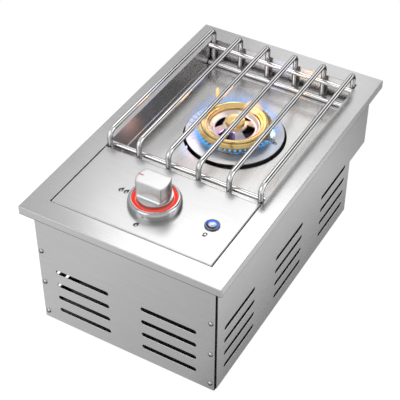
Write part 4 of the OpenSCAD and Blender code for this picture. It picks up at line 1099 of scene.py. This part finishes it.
def make_knob():
    low, high = corners_of("knob_grip")
    radius = high.y - KNOB.y
    top = high.z - PANEL_TOP
    skirt_low = low.z - PANEL_TOP
    base = [(radius - SKIRT_EDGE, skirt_low + 3), (radius - SKIRT_EDGE, skirt_low),
            (radius - 0.2, skirt_low + 0.25), (radius, skirt_low + SKIRT_EDGE), (radius, LEDGE - 0.7),
            (radius - 0.2, LEDGE - 0.2)]
    rows = [(0.0, FAR_OUT, reach, height, 0) for reach, height in base]
    for i in range(9):
        turn = math.radians(90 * i / 8)
        rows.append((0.0, GRIP_HALF + SCOOP * (1 - math.sin(turn)), radius - 0.25 * (1 - i / 8),
                     LEDGE + SCOOP * (1 - math.cos(turn)), 1))
    flank = top - TOP_EDGE - LEDGE - SCOOP
    rows += [(0.0, GRIP_HALF, radius, LEDGE + SCOOP + flank * i / 6, 1) for i in range(1, 7)]
    for turn in [math.radians(90 * i / 5) for i in range(1, 6)]:
        shrink, drop = TOP_EDGE * (1 - math.cos(turn)), TOP_EDGE * (1 - math.sin(turn))
        rows.append((shrink, GRIP_HALF, radius, top - drop, 1))
    bm = bmesh.new()
    levels = [knob_ring(bm, *row) for row in rows]
    close_tube(bm, levels + [knob_ring(bm, *rows[-1], share) for share in TOP_SHARES])
    piece = new_piece("knob_casting", bm, 40)
    metal = brushed_metal("knob_plating", KNOB_COLOUR, 0.3, (500, 500, 30), 0.05, 0.015)
    settle(piece, "knob", "satin_metal", metal, "knob_grip")


make_knob()
paint(moulded("pointer_enamel", ENAMEL_COLOUR, 0.35), "pointer_enamel", "knob_pointer")
paint(SATIN_STEEL, "satin_metal", "valve_stem")

# The light button: a bright turned housing with a nut below the panel, a dished cap that is pressed, and a
# blue lamp ring sunk between the two.
BLUE_CORE = (0.02, 0.14, 1.0)
BLUE_EDGE = (0.12, 0.4, 1.0)
BUTTON_STEPS = 96
BUTTON_BARREL = 9.3
BORE_ROOM = 0.01


def make_button():
    low, high = corners_of("button_housing")
    rim = high.x - BUTTON.x
    cap_low, cap_high = corners_of("button_cap")
    cap = cap_high.x - BUTTON.x
    cap_foot = cap_low.z - PANEL_TOP
    glow_out = corners_of("button_light_ring")[1].x - BUTTON.x
    glow_in = glow_out - 2.4
    flange = high.z - PANEL_TOP
    foot = low.z - PANEL_TOP
    bore = glow_in + BORE_ROOM
    profile = above_panel([
        (bore, foot), (BUTTON_BARREL, foot), (BUTTON_BARREL, 0), (rim - 0.2, 0), (rim, 0.2), (rim, 1.0),
        *arc(rim - 1.1, flange - 1.1, 1.1, 15, 85, 5), (glow_out + 0.5, flange), (glow_out, flange - 0.3),
        (glow_out, flange - 2), (bore, flange - 2)])
    chrome = turned_metal("button_chrome", (0.13, 0.13, 0.14), 0.14, BUTTON, 0.06, 0.03)
    satin = turned_metal("button_cap_satin", (0.44, 0.44, 0.45), 0.18, BUTTON, 0.06, 0.03)
    settle(lathe("button_housing_turning", BUTTON, profile, BUTTON_STEPS), "housing", "chrome_trim", chrome,
           "button_housing")
    sloping = above_panel([(glow_in, flange - 2), (glow_out, flange - 2), (glow_out, flange - 0.4),
                           (glow_out - 0.4, flange - 0.5), (glow_in + 0.1, flange - 1.7)])
    # Painted shade: the blue ring keeps only a small share of its light on its near side.
    blue = lamp_material("blue_diffuser", BLUE_CORE, BLUE_EDGE, 1.5, (BUTTON, glow_out - 0.9), 1.2, 0.03)
    settle(lathe("button_light_ring_lens", BUTTON, sloping, BUTTON_STEPS), "housing", "blue_light", blue,
           "button_light_ring")
    dish = [(cap - 0.5 - (cap - 0.5) * i / 8, flange - 0.55 * (1 - ((8 - i) / 8) ** 2)) for i in range(8)]
    cap_profile = above_panel([(0.3, cap_foot), (cap, cap_foot), (cap, flange - 0.4),
                               (cap - 0.15, flange - 0.12), *dish, (0.3, flange - 0.55)])
    bm = bmesh.new()
    turned_band(bm, BUTTON, cap_profile, BUTTON_STEPS)
    bmesh.ops.holes_fill(bm, edges=[e for e in bm.edges if e.is_boundary], sides=0)
    settle(new_piece("button_cap_turning", bm, 32), "light_button", "chrome_trim", satin, "button_cap")


make_button()
paint(SCREW_STEEL, "screw_steel", "button_nut")

# The grate: six bright rods, each bent twice, welded inside their legs to four straight rails. It stands in
# the pan and lifts out in one piece.
ROD_BEND = 11.0
ROD_SIDES = 28
BEND_STEPS = 14
WELD_SEED = 11
WELD_HALF_SIZES = (1.1, 0.9, 1.7)
ROD_CHAMFER = 0.5
ROD_COLOUR = (0.7, 0.7, 0.705)
ROD_STEEL = brushed_metal("rod_steel", ROD_COLOUR, 0.13, (260, 40, 260), 0.05)
# Painted reflection: dark edges on the rods.
paint_dark_edge_reflection(ROD_STEEL, 0.42, 0.8)
ROD_NODES = ["grate_rod_%d" % n for n in range(1, 7)]
RAIL_NODES = ["front_top_rail", "rear_top_rail", "front_low_rail", "rear_low_rail"]


def bent_route(corners, bend):
    """The middle line of a rod that is bent round its corners."""
    route = [corners[0]]
    for before, corner, after in zip(corners, corners[1:], corners[2:]):
        into, out = (corner - before).normalized(), (after - corner).normalized()
        turn = into.angle(out)
        start = corner - into * bend * math.tan(turn / 2)
        side = (out - into * into.dot(out)).normalized()
        centre = start + side * bend
        for i in range(BEND_STEPS + 1):
            a = turn * i / BEND_STEPS
            route.append(centre - side * bend * math.cos(a) + into * bend * math.sin(a))
    return route + [corners[-1]]


def swept_rod(name, route, radius):
    """A round rod along a route in mm, with its cut ends slightly chamfered."""
    first, last = (route[1] - route[0]).normalized(), (route[-1] - route[-2]).normalized()
    stations = [(route[0], radius - ROD_CHAMFER), (route[0] + first * ROD_CHAMFER, radius)]
    stations += [(p, radius) for p in route[1:-1]]
    stations += [(route[-1] - last * ROD_CHAMFER, radius), (route[-1], radius - ROD_CHAMFER)]
    bm = bmesh.new()
    side = Vector((1, 0, 0)) if abs(first.x) < 0.9 else Vector((0, 1, 0))
    rings = []
    for i, (middle, r) in enumerate(stations):
        before, after = stations[max(i - 1, 0)][0], stations[min(i + 1, len(stations) - 1)][0]
        along = (after - before).normalized()
        side = (side - along * side.dot(along)).normalized()
        up = along.cross(side)
        rings.append(hoop(bm, middle, side * r, up * r, ROD_SIDES))
    close_tube(bm, rings)
    return new_piece(name, bm, 30)


def make_grate():
    for node in ROD_NODES:
        low, high = corners_of(node)
        radius = (high.x - low.x) / 2
        x = (low.x + high.x) / 2
        front, back, top = low.y + radius, high.y - radius, high.z - radius
        corners = [Vector((x, y, z)) for y, z in ((front, low.z), (front, top), (back, top), (back, low.z))]
        settle(swept_rod(node + "_bar", bent_route(corners, ROD_BEND), radius), "grate", "polished_rod",
               ROD_STEEL, node)
    for node in RAIL_NODES:
        low, high = corners_of(node)
        y, z = (low.y + high.y) / 2, (low.z + high.z) / 2
        ends = [Vector((x, y, z)) for x in (low.x, low.x + 20, high.x - 20, high.x)]
        rail = swept_rod(node + "_bar", ends, (high.z - low.z) / 2)
        settle(rail, "grate", "polished_rod", RAIL_STEEL, node)


def make_welds():
    """A small lumpy bead on each side of every crossing of a rod and a rail."""
    dice = random.Random(WELD_SEED)
    bm = bmesh.new()
    for rail in RAIL_NODES:
        rail_low, rail_high = corners_of(rail)
        z = (rail_low.z + rail_high.z) / 2
        inner = rail_high.y if rail.startswith("rear") else rail_low.y
        for rod in ROD_NODES:
            low, high = corners_of(rod)
            x, radius = (low.x + high.x) / 2, (high.x - low.x) / 2
            for side in (-1, 1):
                size = Vector(WELD_HALF_SIZES) * dice.uniform(0.85, 1.15)
                place = Matrix.Translation(Vector((x + side * radius * 0.62, inner, z)) * MM)
                grown = Matrix.Diagonal((*(size * MM), 1))
                made = bmesh.ops.create_icosphere(bm, subdivisions=2, radius=1.0, matrix=place @ grown)
                for vert in made["verts"]:
                    vert.co += Vector([dice.uniform(-0.1, 0.1) for _ in range(3)]) * MM
    settle(new_piece("grate_welds", bm, 60), "grate", "polished_rod", WELD_STEEL)


RAIL_STEEL = brushed_metal("rail_steel", ROD_COLOUR, 0.13, (40, 260, 260), 0.05)
# Painted reflection: dark edges on the rails.
paint_dark_edge_reflection(RAIL_STEEL, 0.42, 0.8)
WELD_STEEL = brushed_metal("weld_steel", (0.4, 0.37, 0.34), 0.32, (500, 500, 500), 0.2, 0.1)
make_grate()
make_welds()

# The flames: gas that leaves the ring's ports burns in short blue tongues, wide to the left and tall at the
# back, over a thin blue veil. A yellow flame and an orange glow stand over the crest, and a star of light at
# the spark. They sit on the ring, and the star stays at the electrode.
FLAME_SEED = 21
TONGUE_STEPS = 9
TONGUE_SIDES = 8
VEIL_SIDES = 176
VEIL_ROWS = 9
FRONT_HEADING = math.radians(-60.3)
SPARK_HEADING = math.radians(12)
SPARK_ROOM = math.radians(8)
FLAME_ROOT = RING_WALL + 0.3
TONGUE_HALF = 2.9
FLAME_LOW_FADE = (0.198, 0.22)
VEIL_FOOT = PORT_HEIGHT - 5.0
VEIL_LIMIT = 27
REACH_FRONT, REACH_SIDE, REACH_LEFT, REACH_BACK = 4.8, 9, 8, 9
RISE_FRONT, RISE_SIDE, RISE_BACK = 1.0, 3, 17
SPARK_PLACE = (12, 59, 199)
SPARK_SIZES = ((5, 5, 5), (1.4, 10, 1.4), (1.4, 1.4, 11))
NEAR_BLUE = (0.12, 0.55, 1.0)
FAR_BLUE = (0.06, 0.2, 1.0)
VIOLET = (0.42, 0.42, 0.92)


def flame_reach(heading):
    """How far a flame goes out and up, in mm, at its heading round the ring."""
    turn = heading - FRONT_HEADING
    back = 0.5 - 0.5 * math.cos(turn)
    side = abs(math.sin(turn))
    left = max(0.0, -math.sin(turn))
    reach = REACH_FRONT + REACH_SIDE * side ** 4 + REACH_LEFT * left ** 4 + REACH_BACK * back ** 2
    return reach, RISE_FRONT + RISE_SIDE * side + RISE_BACK * back ** 3


def light_only(tree, shader, colour, strength, mask, opacity, unseen):
    """Light without a surface, as dense as its mask. Gloss misses a share of it."""
    gloss = add(tree, "ShaderNodeLightPath").outputs["Is Glossy Ray"]
    seen = calculate(tree, "MULTIPLY_ADD", gloss, -unseen * opacity, opacity)
    fill(tree, shader, Emission_Color=colour, Emission_Strength=strength, Base_Color=(0, 0, 0, 1),
         Alpha=calculate(tree, "MULTIPLY", mask, seen), Specular_IOR_Level=0)


def flame_material(name, near_colour, far_colour, strength, opacity, streaks, reach):
    """Bright at the port and clear at the tip, in fine streaks round the axis."""
    material, tree, shader = new_material(name)
    place = object_place(tree)
    centred = vector_maths(tree, "SUBTRACT", place, (BURNER.x * MM, BURNER.y * MM, 0))
    flat = vector_maths(tree, "MULTIPLY", centred, (1, 1, 0))
    heading = vector_maths(tree, "NORMALIZE", flat)
    noise = add(tree, "ShaderNodeTexNoise", Vector=heading, Scale=streaks, Detail=2.0, Roughness=0.7)
    distance = vector_maths(tree, "LENGTH", flat)
    out = ranged(tree, distance, 0.0, 1.0, FLAME_ROOT * MM, (FLAME_ROOT + reach) * MM)
    fade = calculate(tree, "POWER", calculate(tree, "SUBTRACT", 1.0, out), 1.2)
    streak = ranged(tree, noise.outputs["Fac"], 0.15, 1.0, 0.36, 0.6)
    facing = add(tree, "ShaderNodeLayerWeight", Blend=0.35).outputs["Facing"]
    lower = ranged(tree, parts_of(tree, place)["Z"], 1.0, 0.12, *FLAME_LOW_FADE)
    thin = calculate(tree, "MULTIPLY", calculate(tree, "SUBTRACT", 1.0, facing), lower)
    mask = calculate(tree, "MULTIPLY", calculate(tree, "MULTIPLY", fade, streak), thin)
    light_only(tree, shader, blended(tree, out, near_colour, far_colour), strength, mask, opacity, 0.7)
    return material


def add_tongue(bm, root, out, reach, rise, dice):
    """One closed tongue of flame from its root, out along one way and then up."""
    up = Vector((0, 0, 1))
    across = out.cross(up)
    sway = dice.uniform(-0.12, 0.12)
    rings = []
    for i in range(TONGUE_STEPS + 1):
        t = i / TONGUE_STEPS
        middle = root + out * reach * t ** 0.85 + up * rise * t ** 1.8 + across * reach * sway * t * t
        swell = 0.35 + 0.65 * math.sin(math.pi * min(1.0, 0.15 + 0.6 * t))
        size = TONGUE_HALF * swell * (1 - t) ** 0.55 + 0.04
        rings.append(hoop(bm, middle, across * size, up * 0.7 * size, TONGUE_SIDES))
    close_tube(bm, rings)


def make_tongues():
    """One tongue of flame at each port, apart from those beside the spark."""
    dice = random.Random(FLAME_SEED)
    bm = bmesh.new()
    for i in range(PORT_COUNT):
        heading = math.tau * (i + 0.5) / PORT_COUNT
        apart = (heading - SPARK_HEADING + math.pi) % math.tau - math.pi
        if abs(apart) < SPARK_ROOM:
            continue
        out = Vector((math.cos(heading), math.sin(heading), 0))
        reach, rise = flame_reach(heading)
        grown = dice.uniform(0.75, 1.1)
        root = Vector((BURNER.x, BURNER.y, PORT_HEIGHT)) + out * FLAME_ROOT
        add_tongue(bm, root, out, reach * grown, rise * grown - 1.5, dice)
    material = flame_material("blue_flame", NEAR_BLUE, FAR_BLUE, 1.3, 0.65, 40, 24)
    settle(new_piece("burner_flames", bm, 80), "ring_burner", "blue_light", material)


def make_veil():
    """The thin sheet of burning gas between the tongues, open at the spark."""
    dice = random.Random(FLAME_SEED + 1)
    bm = bmesh.new()
    rows = []
    loose = [dice.uniform(0.8, 1.15) for _ in range(VEIL_SIDES)]
    for i in range(VEIL_SIDES + 1):
        heading = SPARK_HEADING + SPARK_ROOM + (math.tau - 2 * SPARK_ROOM) * i / VEIL_SIDES
        reach, rise = flame_reach(heading)
        reach = min(reach * 1.25 * loose[i % VEIL_SIDES], VEIL_LIMIT)
        shares = [k / VEIL_ROWS for k in range(VEIL_ROWS + 1)]
        profile = [(FLAME_ROOT + 0.4 + reach * t, VEIL_FOOT + rise * 1.7 * t ** 1.6) for t in shares]
        rows += turned_points(bm, BURNER, profile, [heading])
    for one, two in zip(rows, rows[1:]):
        for k in range(VEIL_ROWS):
            bm.faces.new((one[k], one[k + 1], two[k + 1], two[k]))
    material = flame_material("blue_veil", (0.06, 0.45, 0.98), VIOLET, 1.1, 1.45, 26, VEIL_LIMIT)
    settle(new_piece("burner_flame_veil", bm, 80), "ring_burner", "blue_light", material)


def glow_material(name, core, edge, strength, opacity, falloff):
    """A soft ball of light: core colour in its middle, clear at its outline."""
    material, tree, shader = new_material(name)
    turned = add(tree, "ShaderNodeLayerWeight", Blend=0.5).outputs["Facing"]
    soft = calculate(tree, "POWER", calculate(tree, "SUBTRACT", 1.0, turned), falloff)
    light_only(tree, shader, blended(tree, soft, edge, core), strength, soft, opacity, 0.6)
    return material


def make_puffs(name, body, slot, material, *puffs):
    """Soft balls of light. Each has its heading, radius, height and three half sizes."""
    bm = bmesh.new()
    for heading, radius, height, sizes in puffs:
        a = math.radians(heading)
        place = Matrix.Translation(polar(BURNER, radius, a, height)) @ Matrix.Rotation(a, 4, "Z")
        grown = Matrix.Diagonal((*(Vector(sizes) * MM), 1))
        bmesh.ops.create_icosphere(bm, subdivisions=3, radius=1.0, matrix=place @ grown)
    settle(new_piece(name, bm, 80), body, slot, material)


def flame_glow(name, heading, radius, height, colour, power, size):
    """The light that a flame throws, from a small soft ball."""
    data = bpy.data.lights.new(name, "POINT")
    data.color = colour
    data.energy = power
    data.shadow_soft_size = size * MM
    light = in_scene(name, data)
    light.location = polar(BURNER, radius, math.radians(heading), height)


make_tongues()
make_veil()
yellow_flame = glow_material("yellow_flame", (1.0, 0.8, 0.4), (1.0, 0.45, 0.08), 1.2, 1.2, 1.5)
make_puffs("burner_yellow_flame", "ring_burner", "red_light", yellow_flame,
           (147, 57, 226, (2.6, 3.4, 9)), (147, 57, 220, (1.4, 2.0, 11)))
orange_glow = glow_material("orange_glow", (1.0, 0.82, 0.55), (1.0, 0.42, 0.12), 1.3, 0.85, 2.4)
make_puffs("burner_orange_glow", "ring_burner", "red_light", orange_glow,
           (70, 37, 216, (14, 17, 8)))
spark_glow = glow_material("spark_glow", (0.8, 0.92, 1.0), (0.2, 0.5, 1.0), 1.8, 1.3, 1.6)
make_puffs("burner_spark_glow", "housing", "blue_light", spark_glow,
           *[(*SPARK_PLACE, sizes) for sizes in SPARK_SIZES])
flame_glow("warm_glow", 84, 47, 226, (1.0, 0.5, 0.22), 0.03, 14)
flame_glow("left_warm_glow", 190, 62, 222, (1.0, 0.45, 0.3), 0.012, 14)
flame_glow("blue_glow_left", 210, 68, 206, (0.3, 0.5, 1.0), 0.006, 16)
flame_glow("blue_glow_back", 120, 66, 214, (0.45, 0.45, 1.0), 0.02, 16)
flame_glow("cup_glow", -60, 26, 188, (0.6, 0.4, 1.0), 0.03, 6)
